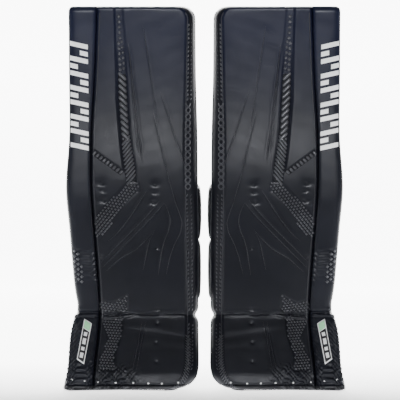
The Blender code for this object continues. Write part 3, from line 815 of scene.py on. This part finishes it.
def roll_body(side):
    """The D-shaped outer roll, closed."""
    v = row_ups(0.0022)[:, None]
    centre, half, middle, reach = roll_section(v)
    pull = rounded(TOP_UP - v, 0.012) + rounded(v - TOE_UP, 0.005)
    turn = np.linspace(0, 2 * math.pi, 100, endpoint=False)[None, :]
    c, s = np.cos(turn), np.sin(turn)
    power = 2 / np.where(s < 0, np.where(c < 0, SEAM_POWER, ROLL_POWER), BACK_POWER)
    out = centre + (half - np.where(c > 0, 0.7, 0.1) * pull) * np.sign(c) * np.abs(c) ** power
    deep = middle + (reach - np.minimum(pull, 0.007)) * np.sign(s) * np.abs(s) ** power
    relief = roll_relief(out, v) * smooth(-s, 0.0, 0.35)
    size = np.hypot(out - centre, deep - middle)
    out = out + 0.45 * relief * (out - centre) / size
    deep = deep + relief * (deep - middle) / size
    rings = place(side, out, level_toe(v, deep), deep)
    kinds = [0 if angle > math.pi or angle < 0.55 or angle > 2.6 else 1 for angle in turn[0]]
    return bind_toe(tube(SIDE_NAME[side] + "_roll_skin", rings, [ROLL, NYLON, BINDING], kinds), 2)


SIDE_NAME = {side: name for name, side in SIDES}
BEND_MIDDLE = 0.02


def bend(piece, side):
    """Bakes the piece's placing into its mesh."""
    start = place(side, 0.16, -0.024, BEND_MIDDLE)
    end = place(side, 0.16, 0.024, BEND_MIDDLE)
    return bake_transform(piece)


def face_details(side):
    """The studs and ribs of the face and the roll, lighter than the face as painted highlight, and dull
    sheets over the sunk channels they stand in, as painted shade.
    """
    pad, boot, shade_sheets = Bits(), Bits(), Bits()
    # the ribbed strip down the thigh
    heights = np.arange(0.476, 0.722, 0.004)
    outer, inner = strip_at(heights)
    left, right = np.stack((outer - 0.001, heights), 1), np.stack((inner + 0.001, heights), 1)
    # painted shade: a dull sheet over the strip's sunk channel
    ribbon(shade_sheets, side, left, right, face_front, 0.0005)
    for low, high, pitch, turn, length, across in (
        (0.579, 0.722, 0.0136, 0.74, 1.18, 0.0074),
        (0.482, 0.571, 0.0088, -0.88, 1.44, 0.0052),
    ):
        heights = np.arange(low, high, pitch)
        outer, inner = strip_at(heights)
        width = (outer - inner) * length
        studs(pad, side, (outer + inner) / 2, heights, face_front, width, across, turn, 0.0038, 3)
    out, height = np.array((0.1835, 0.1850)), np.array((0.5645, 0.5735))
    studs(pad, side, out, height, face_front, 0.0060, 0.0066, 0, 0.0030, 3)
    # above the ribs, studs in pairs and then one by one
    heights = np.arange(0.730, 0.858, 0.0118)
    outer, inner = strip_at(heights)
    pair = heights < 0.80
    for rows, share, rise, width, length, tall in (
        (pair, 0.30, 0.0, 0.0072, 0.0074, 0.0030),
        (pair, 0.70, 0.003, 0.0058, 0.0064, 0.0026),
        (~pair, 0.50, 0.0, 0.0070, 0.0072, 0.0026),
    ):
        out = (outer + (inner - outer) * share)[rows]
        studs(pad, side, out, heights[rows] + rise, face_front, width, length, 0, tall, 3)
    # the row of studs from the roll down to the strip
    start, end = np.array(STUD_ROW)
    run = end - start
    line = start + run * np.linspace(-0.01, 1.04, 30)[:, None]
    square = 0.0062 * np.array((-run[1], run[0])) / np.hypot(*run)
    # painted shade: a dull sheet along the row's channel
    ribbon(shade_sheets, side, line + square, line - square, face_front, 0.0005)
    row = start + run * np.linspace(0.04, 1.0, 9)[:, None]
    turn = math.atan2(-run[1], -run[0]) + 0.15
    studs(pad, side, row[:, 0], row[:, 1], face_front, 0.0054, 0.0112, turn, 0.0034, 3)
    attach(shade_sheets, side, "sunk_channels_shade_sheet", RECESS_PAINTED_SHADE, "pad")
    # the bands of studs below the knee, above the ankle, on the boot and on the roll
    slope = math.atan2(0.354 - 0.457, 0.249 - 0.163)
    out, height = lattice(STUD_BAND, 0.0078, 0.0068, slope)
    width = 0.0044 * (1 + 0.5 * smooth(0.430 - height, 0, 0.06))
    studs(pad, side, out, height, face_front, width, 0.0040, slope, 0.0030)
    for bits, outline, surface, along, across, turn, width, length, tall in (
        (pad, ANKLE_STUDS, face_front, 0.0078, 0.0060, 0.15, 0.0046, 0.0046, 0.0026),
        (boot, BOOT_STUDS, face_front, 0.0070, 0.0058, 1.1, 0.0042, 0.0044, 0.0026),
        (pad, ROLL_DOTS, roll_front, 0.0118, 0.0078, math.pi / 2, 0.0060, 0.0060, 0.0028),
    ):
        out, height = lattice(outline, along, across, turn)
        studs(bits, side, out, height, surface, width, length, math.pi / 4, tall)
    # the studs take the lighter leather, a painted highlight
    attach(pad, side, "thigh_and_shin_studs", RIB_PAINTED_HIGHLIGHT, "pad")
    attach(boot, side, "boot_studs", RIB_PAINTED_HIGHLIGHT, "boot")


def pressed_lines(side):
    """Thin cords under the skin, along the lines pressed into the face."""
    cords = {"pad": Bits(), "boot": Bits()}
    for tall, _, points in PRESSED_LINES:
        length = run_length(points)
        steps = np.arange(0, length[-1], 0.003)
        line = np.stack([np.interp(steps, length, points[:, k]) for k in range(2)])
        for _ in range(3):
            line[:, 1:-1] = (line[:, :-2] + line[:, 1:-1] + line[:, 2:]) / 3
        out, up = line[0], up_at(line[1])
        taper = np.minimum(1, 0.15 + np.minimum(steps, length[-1] - steps) / 0.045)
        radius = (0.0005 + 0.32 * tall) * taper
        body = "pad" if points[0][1] > BREAK_HEIGHT else "boot"
        rope(cords[body], place(side, out, up, face_front(out, up) - 0.15 * radius), radius)
    for body, bits in cords.items():
        # the cords are paler than the face, a painted highlight
        attach(bits, side, body + "_pressed_lines", STUD_PAINTED_HIGHLIGHT, body)


def edge_piping(side):
    """The cords along the seams and the inner edge of the face."""
    cords = Bits()
    up = np.arange(TOE_UP + 0.010, TOP_UP - 0.012, 0.004)
    for line, shift, radius in (
        ("roll_seam", -0.0068, 0.0017),
        ("inner_seam", 0.0030, 0.0015),
        ("inner", 0.0006, 0.0016),
    ):
        out = edge(line, up) + shift
        deep = EDGE_DEEP + 0 * up if line == "inner" else face_front(out, up) + 0.0006
        rope(cords, place(side, out, level_toe(up, deep), deep), radius)
    # the piping is paler than the face, a painted highlight
    bend(cords.build(SIDE_NAME[side] + "_edge_piping", STUD_PAINTED_HIGHLIGHT), side)


def gusset_place(side, share, up):
    """A point between the face's inner seam, at share 0, and the inner edge, at share 1."""
    seam, far = edge("inner_seam", up), edge("inner", up)
    out = seam + 0.0015 + (far - seam - 0.0015) * share
    near = face_front(seam, up) - 0.0012
    swell = 0.0030 * np.sin(math.pi * np.clip(share, 0, 1))
    return place(side, out, level_toe(up, 0.0), near + (EDGE_DEEP - near) * share - swell)


def seam_stitching(side):
    """A braid over the inner seam above the knee, and pairs of stitches along the rest of it."""
    braid = Bits()
    up = np.arange(up_at(0.458), up_at(0.655), 0.0011)
    for shift in (0.0, math.pi):
        share = 0.17 + 0.21 * np.sin((up - up[0]) * 2 * math.pi / 0.0290 + shift)
        rope(braid, gusset_place(side, share, up), 0.0018)
    attach(braid, side, "seam_braid", LACE_PAINTED_HIGHLIGHT, "pad")

    pairs = {"pad": Bits(), "boot": Bits()}
    across, along = np.array((-0.03, 0, 0.03, 0.05)), np.array((-1, -0.3, 0.4, 1))
    radius = np.array((0.0009, 0.0016, 0.0016, 0.0009))
    for body, low, high in (("pad", 0.178, 0.452), ("pad", 0.664, 0.830), ("boot", 0.052, 0.150)):
        for up in np.arange(up_at(low), up_at(high), 0.0098):
            for share, length in ((0.08, 0.0032), (0.42, 0.0026)):
                rope(pairs[body], gusset_place(side, share + across, up + length * along), radius)
    for body, bits in pairs.items():
        attach(bits, side, body + "_seam_stitches", LACE_PAINTED_HIGHLIGHT, body)


def near_seam(out, up):
    """Deep of the face, or of the gusset beyond its inner seam."""
    seam, far = edge("inner_seam", up), edge("inner", up)
    share = np.clip((seam - out) / (seam - far), 0, 1)
    near = face_front(np.maximum(out, seam), up)
    return near + (EDGE_DEEP - near) * share - 0.0024 * np.sin(math.pi * share)


def toe_stitching(side):
    """The lacing round the inner corner of the toe, and the pale stitches' ends along its bound edge."""
    lacing, ends = Bits(), Bits()
    climb = np.linspace(TOE_UP + 0.0015, up_at(0.120), 400)
    line = edge("inner_seam", climb)
    length = run_length(np.stack((line, climb), 1))
    reach = np.linspace(-0.0078, 0.0085, 7)
    radius = 0.0012 * np.array((0.5, 0.9, 1, 1, 1, 0.9, 0.5))
    for at in np.arange(0.002, length[-1], 0.0066):
        i = min(int(np.searchsorted(length, at)), len(climb) - 2)
        slant = math.atan2(climb[i + 1] - climb[i], line[i + 1] - line[i]) - 0.95
        out = line[i] + reach * math.cos(slant)
        up = np.maximum(climb[i] + reach * math.sin(slant), TOE_UP + 0.001)
        deep = near_seam(out, up)
        rope(lacing, place(side, out, level_toe(up, deep), deep - 0.0004), radius)
    attach(lacing, side, "toe_lacing", LACE_PAINTED_HIGHLIGHT, "boot")
    for out, height in STITCH_ENDS:
        surface = roll_front if out > 0.25 else face_front
        studs(ends, side, out, height, surface, 0.0052, 0.0040, 0, 0.0016, 3)
    attach(ends, side, "toe_stitch_ends", WHITE, "boot")


def toe_sole(side):
    """The hard flat sole under the toe, from one edge of the pad to the other."""
    low, high = edge("inner", TOE_UP) + 0.002, edge("outer", TOE_UP) - 0.008
    near = float(place(1, 0.0, TOE_UP, 0.0)[1]) + 0.0105
    far = near + 0.036
    corners = ((high, near, 0.010), (high, far, 0.006), (low, far, 0.006), (low, near, 0.030))
    rings = []
    for inset, height in ((0.0025, 0.0), (0.0, 0.0015), (0.0, FLOOR_CUT + 0.0012)):
        ring = []
        for out, y, radius in corners:
            turn_out, turn_y = (1 if out == high else -1), (1 if y == far else -1)
            for angle in np.linspace(math.pi / 2, 0, 7):
                corner_out = out - turn_out * radius + turn_out * (radius - inset) * math.cos(angle)
                corner_y = y - turn_y * radius + turn_y * (radius - inset) * math.sin(angle)
                ring.append((side * corner_out, corner_y, height))
        rings.append(ring)
    bits = Bits()
    bits.rings(rings)
    sole = attach(bits, side, "toe_sole", BLOCK, "boot")
    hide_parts(SIDE_NAME[side] + "_toe_plate")


PATCH_MARKS = ((0.08, 0.20), (0.26, 0.34), (0.41, 0.55), (0.61, 0.70))
# The patch's plates: name, material, boxes and lift. A box has two opposite corners, as shares across and
# along the patch, and the slant of its two level sides.
PATCH_PLATES = (
    ("patch_border", WHITE, ((0.0, 0.0, 1.0, 1.0, 0.0),), 0.0012),
    ("patch_field", DARK, ((0.11, 0.03, 0.89, 0.77, 0.0),), 0.0018),
    ("patch_end", MINT, ((0.11, 0.79, 0.89, 0.97, 0.0),), 0.0018),
    ("patch_marks", WHITE, tuple((0.30, low, 0.70, high, 0.03) for low, high in PATCH_MARKS), 0.0024),
)
# The printed bars: out of both ends of each in turn, their slant and their height.
BAR_START = 0.263
BAR_ENDS = ((BAR_START, 0.304), (BAR_START, 0.281), (BAR_START, 0.304), (0.286, 0.304))
BAR_SLANT = 0.22
BAR_TALL = 0.0104


def badge_and_bars(side):
    """A plain patch on the boot roll, and slanted bars printed down the thigh roll."""
    low_out, low_in, high_in, high_out = (np.array(corner) for corner in PATCH_CORNERS)

    def spot(across, along):
        low, high = low_out + (low_in - low_out) * across, high_out + (high_in - high_out) * across
        return low * (1 - along) + high * along

    for kind, material, boxes, lift in PATCH_PLATES:
        bits = Bits()
        for left, bottom, right, top, slant in boxes:
            box = ((left, bottom), (right, bottom + slant), (right, top + slant), (left, top))
            patch(bits, side, [spot(*corner) for corner in box], roll_front, lift, 16, 6)
        attach(bits, side, kind, material, "boot")

    bars = Bits()
    for number, height in enumerate(np.arange(0.547, 0.776, 0.0163)):
        near, far = BAR_ENDS[number % len(BAR_ENDS)]
        low, high = (height + BAR_SLANT * (out - BAR_START) for out in (near, far))
        corners = ((near, low), (far, high), (far, high + BAR_TALL), (near, low + BAR_TALL))
        patch(bars, side, corners, roll_front, 0.0006, 6, 14)
    attach(bars, side, "printed_bars", WHITE, "pad")


# ---------------------------------------------------------------- the leg channel behind the face


# Each soft part: its material, its fill, the pitch of the channels sewn across it, and the body it rides.
SOFT_PARTS = {
    "thigh_liner": (LINING, 0.5, 0.062, "pad"),
    "shin_cushion": (LINING, 0.7, 0.046, "pad"),
    "knee_pad": (LINING, 0.8, 0.0, "pad"),
    "calf_wedge": (BLOCK, 0.8, 0.0, "pad"),
    "knee_block": (BLOCK, 0.8, 0.0, "pad"),
    "inner_calf_wrap": (NYLON, 0.7, 0.042, "inner_calf_wrap"),
    "outer_calf_wrap": (NYLON, 0.7, 0.042, "outer_calf_wrap"),
    "inner_knee_wing": (NYLON, 0.7, 0.0, "inner_knee_wing"),
    "outer_knee_wing": (NYLON, 0.7, 0.035, "outer_knee_wing"),
    "boot_liner": (LINING, 0.5, 0.040, "boot"),
    "boot_inner_wall": (NYLON, 0.8, 0.0, "boot"),
    "boot_outer_wall": (NYLON, 0.8, 0.0, "boot"),
}
VOXEL = 0.0052
MOST_SWELL = 0.0042
SWELL_FRAMES = 20


def evaluated(obj):
    """The points and faces of an object with its modifiers applied. The object is then removed."""
    graph = bpy.context.evaluated_depsgraph_get()
    mesh = bpy.data.meshes.new_from_object(obj.evaluated_get(graph))
    points = np.empty(len(mesh.vertices) * 3)
    mesh.vertices.foreach_get("co", points)
    faces = [tuple(polygon.vertices) for polygon in mesh.polygons]
    bpy.data.meshes.remove(mesh)
    bpy.data.objects.remove(obj)
    return points.reshape(-1, 3), faces


def scratch_object(points, faces):
    mesh = bpy.data.meshes.new("scratch")
    mesh.from_pydata(np.asarray(points).tolist(), [], faces)
    return linked("scratch", mesh)


def remeshed(node):
    """A node's solid as an even skin of small faces."""
    mesh = node.data.copy()
    mesh.transform(node.matrix_world)
    obj = linked("scratch", mesh)
    remesh = obj.modifiers.new("remesh", "REMESH")
    remesh.mode = "VOXEL"
    remesh.voxel_size = VOXEL
    return evaluated(obj)


def swollen(points, faces):
    """The points after the skins are blown up from inside as cloth, none moving further than MOST_SWELL."""
    obj = scratch_object(points, faces)
    cloth = obj.modifiers.new("cloth", "CLOTH")
    settings = cloth.settings
    settings.quality = 5
    settings.use_pressure = True
    settings.uniform_pressure_force = 4
    settings.effector_weights.gravity = 0
    cloth.collision_settings.use_collision = False
    cloth.point_cache.frame_end = SWELL_FRAMES
    for number in range(1, SWELL_FRAMES + 1):
        bpy.context.scene.frame_set(number)
    move = evaluated(obj)[0] - points
    bpy.context.scene.frame_set(1)
    size = np.linalg.norm(move, axis=1)[:, None]
    return points + move * np.minimum(1, MOST_SWELL / np.maximum(size, 1e-9))


def subdivided(points, faces):
    obj = scratch_object(points, faces)
    obj.modifiers.new("finer", "SUBSURF").levels = 1
    return evaluated(obj)


def frame_measures(points, part):
    """Up and deep of points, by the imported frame's straight boot, shin or thigh."""
    if part.startswith("boot"):
        lean, anchor = -BOOT_TILT, BOOT_ANCHOR
    elif part == "thigh_liner":
        lean, anchor = math.radians(6), 0.5
    else:
        lean, anchor = SHIN_LEAN, 0.1
    y = points[:, 1] - np.interp(anchor, SPINE_UP, FRAME_Y)
    z = points[:, 2] - np.interp(anchor, SPINE_UP, FRAME_Z)
    return anchor - y * math.sin(lean) + z * math.cos(lean), y * math.cos(lean) + z * math.sin(lean)


def quilted(points, part, pitch):
    """Presses sewn channels across a part, and the slow unevenness of stuffing."""
    up, deep = frame_measures(points, part)
    outwards = np.zeros_like(points)
    if any(word in part for word in ("wrap", "wing", "wall")):
        outwards[:, 0] = np.sign(points[:, 0] - points[:, 0].mean())
    else:
        middle = (deep.min() + deep.max()) / 2
        outwards[:, 1] = smooth(deep, middle - 0.002, middle + 0.002)
    press = 0.0005 * wander(points[:, 0] * 0.8 + points[:, 1], points[:, 2])
    if pitch:
        length = up.max() - up.min()
        count = max(2, round(length / pitch))
        share = (up - up.min()) / length * count
        line = np.round(share)
        from_line = np.abs(share - line) / count * length
        press -= 0.0028 * bump(from_line, 0, 0.0035) * ((line > 0) & (line < count))
    return points + outwards * press[:, None]


def turn_cosine(edge_line, vertex, heading):
    """The cosine of the turn from a heading on to an edge that leaves a vertex."""
    return (edge_line.other_vert(vertex).co - vertex.co).normalized().dot(heading)


def sharp_lines(node):
    """The lines where a solid's faces meet at a sharp edge, each as an array of points."""
    bm = bmesh.new()
    bm.from_mesh(node.data)
    bmesh.ops.remove_doubles(bm, verts=bm.verts, dist=1e-5)
    sharp = {e for e in bm.edges if len(e.link_faces) == 2 and e.calc_face_angle(0) > math.radians(42)}
    lines = []
    while sharp:
        first = min(sharp, key=lambda e: e.index)
        sharp.discard(first)
        chain = list(first.verts)
        for _ in range(2):
            while True:
                here, before = chain[-1], chain[-2]
                heading = (here.co - before.co).normalized()
                ahead = (e for e in here.link_edges if e in sharp and turn_cosine(e, here, heading) > 0.6)
                following = next(ahead, None)
                if following is None:
                    break
                sharp.discard(following)
                chain.append(following.other_vert(here))
            chain.reverse()
        lines.append(np.array([node.matrix_world @ v.co for v in chain]))
    bm.free()
    return lines


def resampled(points, step):
    """Evenly spaced points along a line."""
    length = run_length(points)
    marks = np.linspace(0, length[-1], max(3, int(length[-1] / step)))
    return np.stack([np.interp(marks, length, points[:, k]) for k in range(3)], 1)


def soft_shapes():
    """Points, faces and seam lines of the right pad's soft parts, which the left pad's mirror."""
    bases = {part: remeshed(frame["nodes"]["right_" + part]) for part in SOFT_PARTS}
    points = np.concatenate([base[0] for base in bases.values()])
    faces, starts, start = [], {}, 0
    for part, (part_points, part_faces) in bases.items():
        starts[part] = start
        faces += [tuple(i + start for i in face) for face in part_faces]
        start += len(part_points)
    points = swollen(points, faces)
    shapes = {}
    for part, (part_points, part_faces) in bases.items():
        blown = points[starts[part]:starts[part] + len(part_points)]
        blown, fine_faces = subdivided(blown, part_faces)
        blown = quilted(blown, part, SOFT_PARTS[part][2])
        obj = scratch_object(blown, fine_faces)
        bpy.context.view_layer.update()
        seams = []
        for line in sharp_lines(frame["nodes"]["right_" + part]):
            line = resampled(line, 0.005)
            if len(line) > 3:
                seams.append(np.array([obj.closest_point_on_mesh(Vector(point))[1] for point in line]))
        bpy.data.objects.remove(obj)
        shapes[part] = (blown, fine_faces, seams)
    return shapes


def soft_parts(side, shapes):
    """The padded parts of the leg channel, with piping along their seams."""
    name = SIDE_NAME[side]
    mirror = np.array((-side, 1, 1))
    for part, (points, faces, seams) in shapes.items():
        material, fill, _, body = SOFT_PARTS[part]
        piece = object_from(name + "_soft_" + part, points * mirror, faces, [material])
        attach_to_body(piece, name + "_" + body)
        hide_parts(name + "_" + part)
        piping = Bits()
        for seam in seams:
            rope(piping, seam * mirror, 0.0014)
        attach(piping, side, part + "_piping", TRIM, body)


# The straps: out and deep where they start, out where they end, up of their middle, and bow.
STRAPS = {
    "lower_calf_strap": (0.055, 0.164, 0.262, 0.062, 0.014),
    "upper_calf_strap": (0.055, 0.164, 0.262, 0.124, 0.014),
    "knee_strap": (0.055, 0.162, 0.262, 0.231, 0.014),
    "boot_strap": (0.069, 0.1115, 0.270, -0.070, 0.012),
}


def strap_path(strap, share):
    """Out and deep of a strap's front, at a share of its length."""
    start, deep, end, _, bow = STRAPS[strap]
    return start + (end - start) * share, deep + 4 * share * (1 - share) * bow


def flat_band(bits, side, up, lines):
    """A flat band, by the lines that run along one half of it: out, deep and reach from its middle."""
    low = [frame_place(side, out, up - reach, deep) for out, deep, reach in lines]
    high = [frame_place(side, out, up + reach, deep) for out, deep, reach in lines[::-1]]
    bits.rings(np.stack(low + high, 1))


def band(bits, side, strap, half, lift, thick, share_low=0.0, share_high=1.0, steps=40):
    """A flat band along a strap, from one share of its length to another."""
    out, deep = strap_path(strap, np.linspace(share_low, share_high, steps))
    levels = ((0, BAND_EDGE), (0.25, 0), (0.75, 0), (1, BAND_EDGE))
    lines = [(out, deep + lift + thick * at, half - inset) for at, inset in levels]
    flat_band(bits, side, STRAPS[strap][3], lines)


# The walls that swing: out and deep of the line each turns on, its length, and the way it leans over the leg.
WALLS = {
    "inner_calf_wrap": (0.039, 0.083, 0.072, 1),
    "outer_calf_wrap": (0.267, 0.045, 0.105, -1),
    "inner_knee_wing": (0.039, 0.107, 0.045, 1),
    "outer_knee_wing": (0.267, 0.0475, 0.098, -1),
}
STRAP_WALLS = {"lower_calf_strap": "calf_wrap", "upper_calf_strap": "calf_wrap", "knee_strap": "knee_wing"}
WALL_TURN = math.radians(28)
CAST = 0.02
TAB_HALF = 0.0150
TAB_THICK = 0.0020
BAND_EDGE = 0.0006


def wall_face(wall, up, low, shapes):
    """Out and deep of points on a wall's padded outside, from a share of its length to its free edge."""
    hinge_out, hinge_deep, length, leans = WALLS[wall]
    tree = BVHTree.FromPolygons([Vector(point) for point in shapes[wall][0]], shapes[wall][1])
    line = []
    for angle in WALL_TURN * np.linspace(low, 0.97, 10):
        radius = length / WALL_TURN
        out = hinge_out + leans * radius * (1 - math.cos(angle))
        deep = hinge_deep + radius * math.sin(angle)
        away = np.array((-leans * math.cos(angle), math.sin(angle)))
        lift = 0.0
        for height in (up - TAB_HALF, up, up + TAB_HALF):
            start = frame_place(-1, out + CAST * away[0], height, deep + CAST * away[1])
            foot = frame_place(-1, out, height, deep)
            reach = tree.ray_cast(Vector(start), Vector(foot - start), 0.03)[3]
            if reach is not None:
                lift = max(lift, CAST - reach)
        line.append(np.array((out, deep)) + away * (lift + 0.7 * TAB_THICK))
    return line


def webbing(bits, side, line, up):
    """A tab standing across a line of (out, deep) points, its thickness shared by both sides of the line."""
    line = np.asarray(line)
    for _ in range(3):
        line[1:-1] = (line[:-2] + 2 * line[1:-1] + line[2:]) / 4
    along = np.gradient(line, axis=0)
    along /= np.linalg.norm(along, axis=1)[:, None]
    across = np.stack((-along[:, 1], along[:, 0]), 1)
    levels = ((-0.5, BAND_EDGE), (-0.25, 0), (0.25, 0), (0.5, BAND_EDGE))
    lines = [(*(line + at * TAB_THICK * across).T, TAB_HALF - inset) for at, inset in levels]
    flat_band(bits, side, up, lines)


def led_to(line, point, first, count):
    """The line, led straight on to a point from this share of the way to it."""
    return line + [line[-1] + (point - line[-1]) * share for share in np.linspace(first, 1, count)]


def strap_tabs(side, strap, inner, outer, shapes):
    """The tab that holds a strap to the inner wall, and the landing tab it lies on at the outer wall."""
    start, start_deep, end, up, _ = STRAPS[strap]
    tab, bar, landing = Bits(), Bits(), Bits()
    hold = np.array((start - 0.0010, start_deep - 0.0016))
    webbing(tab, side, led_to(wall_face(inner, up, 0.45, shapes), hold, 0.12, 6), up)
    heights = up + np.linspace(-0.0165, 0.0165, 8)
    rope(bar, frame_place(side, start - 0.0004, heights, start_deep - 0.0018), 0.0014, 8)
    attach(tab, side, strap + "_holding_tab", WEBBING, inner)
    attach(bar, side, strap + "_bar", TRIM, inner)

    outs = np.linspace(0.2405, end - 0.001, 9)
    deep = strap_path(strap, (outs - start) / (end - start))[1] - 0.9 * TAB_THICK
    under = np.stack((outs, deep), 1)
    line = led_to(wall_face(outer, up, 0.55, shapes), under[0] + (-0.0030, -0.0035), 0.15, 7)
    webbing(landing, side, line + list(under), up)
    attach(landing, side, strap + "_landing_tab", WEBBING, outer)


def straps(side):
    """Woven straps, each with a sewn tab at its free end and a pair of stitched boxes."""
    for strap, (start, _, end, up, _) in STRAPS.items():
        web, hooks, stitches = Bits(), Bits(), Bits()
        band(web, side, strap, 0.016, 0.0, 0.0025)
        band(hooks, side, strap, 0.0145, 0.0025, 0.0012, 0.70, 0.985, 16)
        band(hooks, side, strap, 0.0145, 0.0025, 0.0012, 0.03, 0.20, 10)
        for low, high in ((0.045, 0.185), (0.715, 0.80)):
            # round the box, and then across it both ways
            corners = [(share, reach, 0.0) for share in (low, high) for reach in (-0.012, 0.012)]
            line = np.array([corners[number] for number in (0, 2, 3, 1, 0, 3, 1, 2)]) * (end - start, 1, 1)
            line = resampled(line, 0.003)
            out, deep = strap_path(strap, line[:, 0] / (end - start))
            rope(stitches, frame_place(side, out, up + line[:, 1], deep + 0.0039), 0.0005, 5)
        woven_strap = attach(web, side, "woven_" + strap, WEBBING, strap)
        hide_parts(SIDE_NAME[side] + "_" + strap)
        attach(hooks, side, strap + "_hooks", HOOKS, strap)
        attach(stitches, side, strap + "_stitches", THREAD, strap)


FACE_NODES = ("face_core", "stiffener_plate", "face_cover", "inner_edge_gusset", "back_cover", "boot_core",
              "boot_cover", "boot_edge_gusset")
ROLL_NODES = ("outer_roll_core", "outer_roll_cover", "boot_roll_core", "boot_roll_cover")


soft_goods = soft_shapes()

for name, side in SIDES:
    skin = bend(face_body(side), side)
    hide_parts(*(name + "_" + node for node in FACE_NODES))
    roll = bend(roll_body(side), side)
    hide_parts(*(name + "_" + node for node in ROLL_NODES))
    for details in (face_details, pressed_lines, edge_piping, seam_stitching, toe_stitching, badge_and_bars):
        details(side)
    soft_parts(side, soft_goods)
    straps(side)
    for strap, wall in STRAP_WALLS.items():
        strap_tabs(side, strap, "inner_" + wall, "outer_" + wall, soft_goods)
    toe_sole(side)
    mesh = frame["nodes"][name + "_toe_tab"].data
    mesh.materials.clear()
    mesh.materials.append(BLOCK)

# ---------------------------------------------------------------- floor, light and camera


GLOW = 7.0


def studio():
    """A white floor that sweeps up behind the pads and glows there, three soft lights and the camera."""
    scene = bpy.context.scene
    mesh = bpy.data.meshes.new("floor")
    far, wide, tall, corner = 4.6, 5.0, 5.0, 1.2
    profile = [(-3.0, 0.0), (far - corner, 0.0)]
    for turn in np.linspace(0, math.pi / 2, 16)[1:]:
        profile.append((far - corner + corner * math.sin(turn), corner - corner * math.cos(turn)))
    profile += [(far, tall)]
    vertices = [(x, y, z) for y, z in profile for x in (-wide, wide)]
    faces = [(i, i + 1, i + 3, i + 2) for i in range(0, 2 * len(profile) - 2, 2)]
    mesh.from_pydata(vertices, [], faces)
    mesh.shade_smooth()
    paper = Nodes("paper", 0.95, 0.1)
    paper.finish(paper.ramp(paper.noise(3.0), ((0.0, (0.90, 0.90, 0.90)), (1.0, (0.92, 0.92, 0.92)))))
    # the sweep behind the object glows, as a lit translucent table does
    glow = paper.ramp(paper.maths("ADD", paper.axis("Y"), 0.4), ((0.05, 0.0), (0.40, 0.5), (0.85, 1.0)))
    strength = paper.maths("MULTIPLY", glow, GLOW)
    paper.fill(paper.shader, {"Emission Color": (1, 1, 1, 1), "Emission Strength": strength})
    mesh.materials.append(paper.material)
    linked("floor", mesh)

    world = bpy.data.worlds.new("studio")
    scene.world = world
    world.use_nodes = True
    background = world.node_tree.nodes["Background"]
    background.inputs["Color"].default_value = (1, 1, 1, 1)
    background.inputs["Strength"].default_value = 0.12

    def area(name, place_at, aim, size, power, spread):
        light = bpy.data.lights.new(name, "AREA")
        light.shape = "RECTANGLE"
        light.size, light.size_y = size
        light.energy = power
        light.spread = math.radians(spread)
        obj = linked(name, light)
        obj.location = place_at
        obj.rotation_euler = (Vector(aim) - Vector(place_at)).to_track_quat("-Z", "Y").to_euler()

    area("front_light", (0.0, -3.4, 1.25), (0, 0, 0.62), (2.6, 0.6), 10, spread=30)
    area("boot_light", (0.0, -1.4, 2.6), (0, 0, 0.1), (2.0, 0.5), 0.4, spread=50)
    area("rear_light", (0.0, 3.0, 2.2), (0, 0, 0.5), (2.4, 1.0), 12, spread=60)

    camera = bpy.data.cameras.new("camera")
    camera.lens = 122.7
    camera.sensor_width = 36
    camera.shift_x = -0.01125
    obj = linked("camera", camera)
    obj.location = (0.0, -3.2, 0.4345)
    obj.rotation_euler = (math.pi / 2, 0, 0)
    scene.camera = obj


studio()
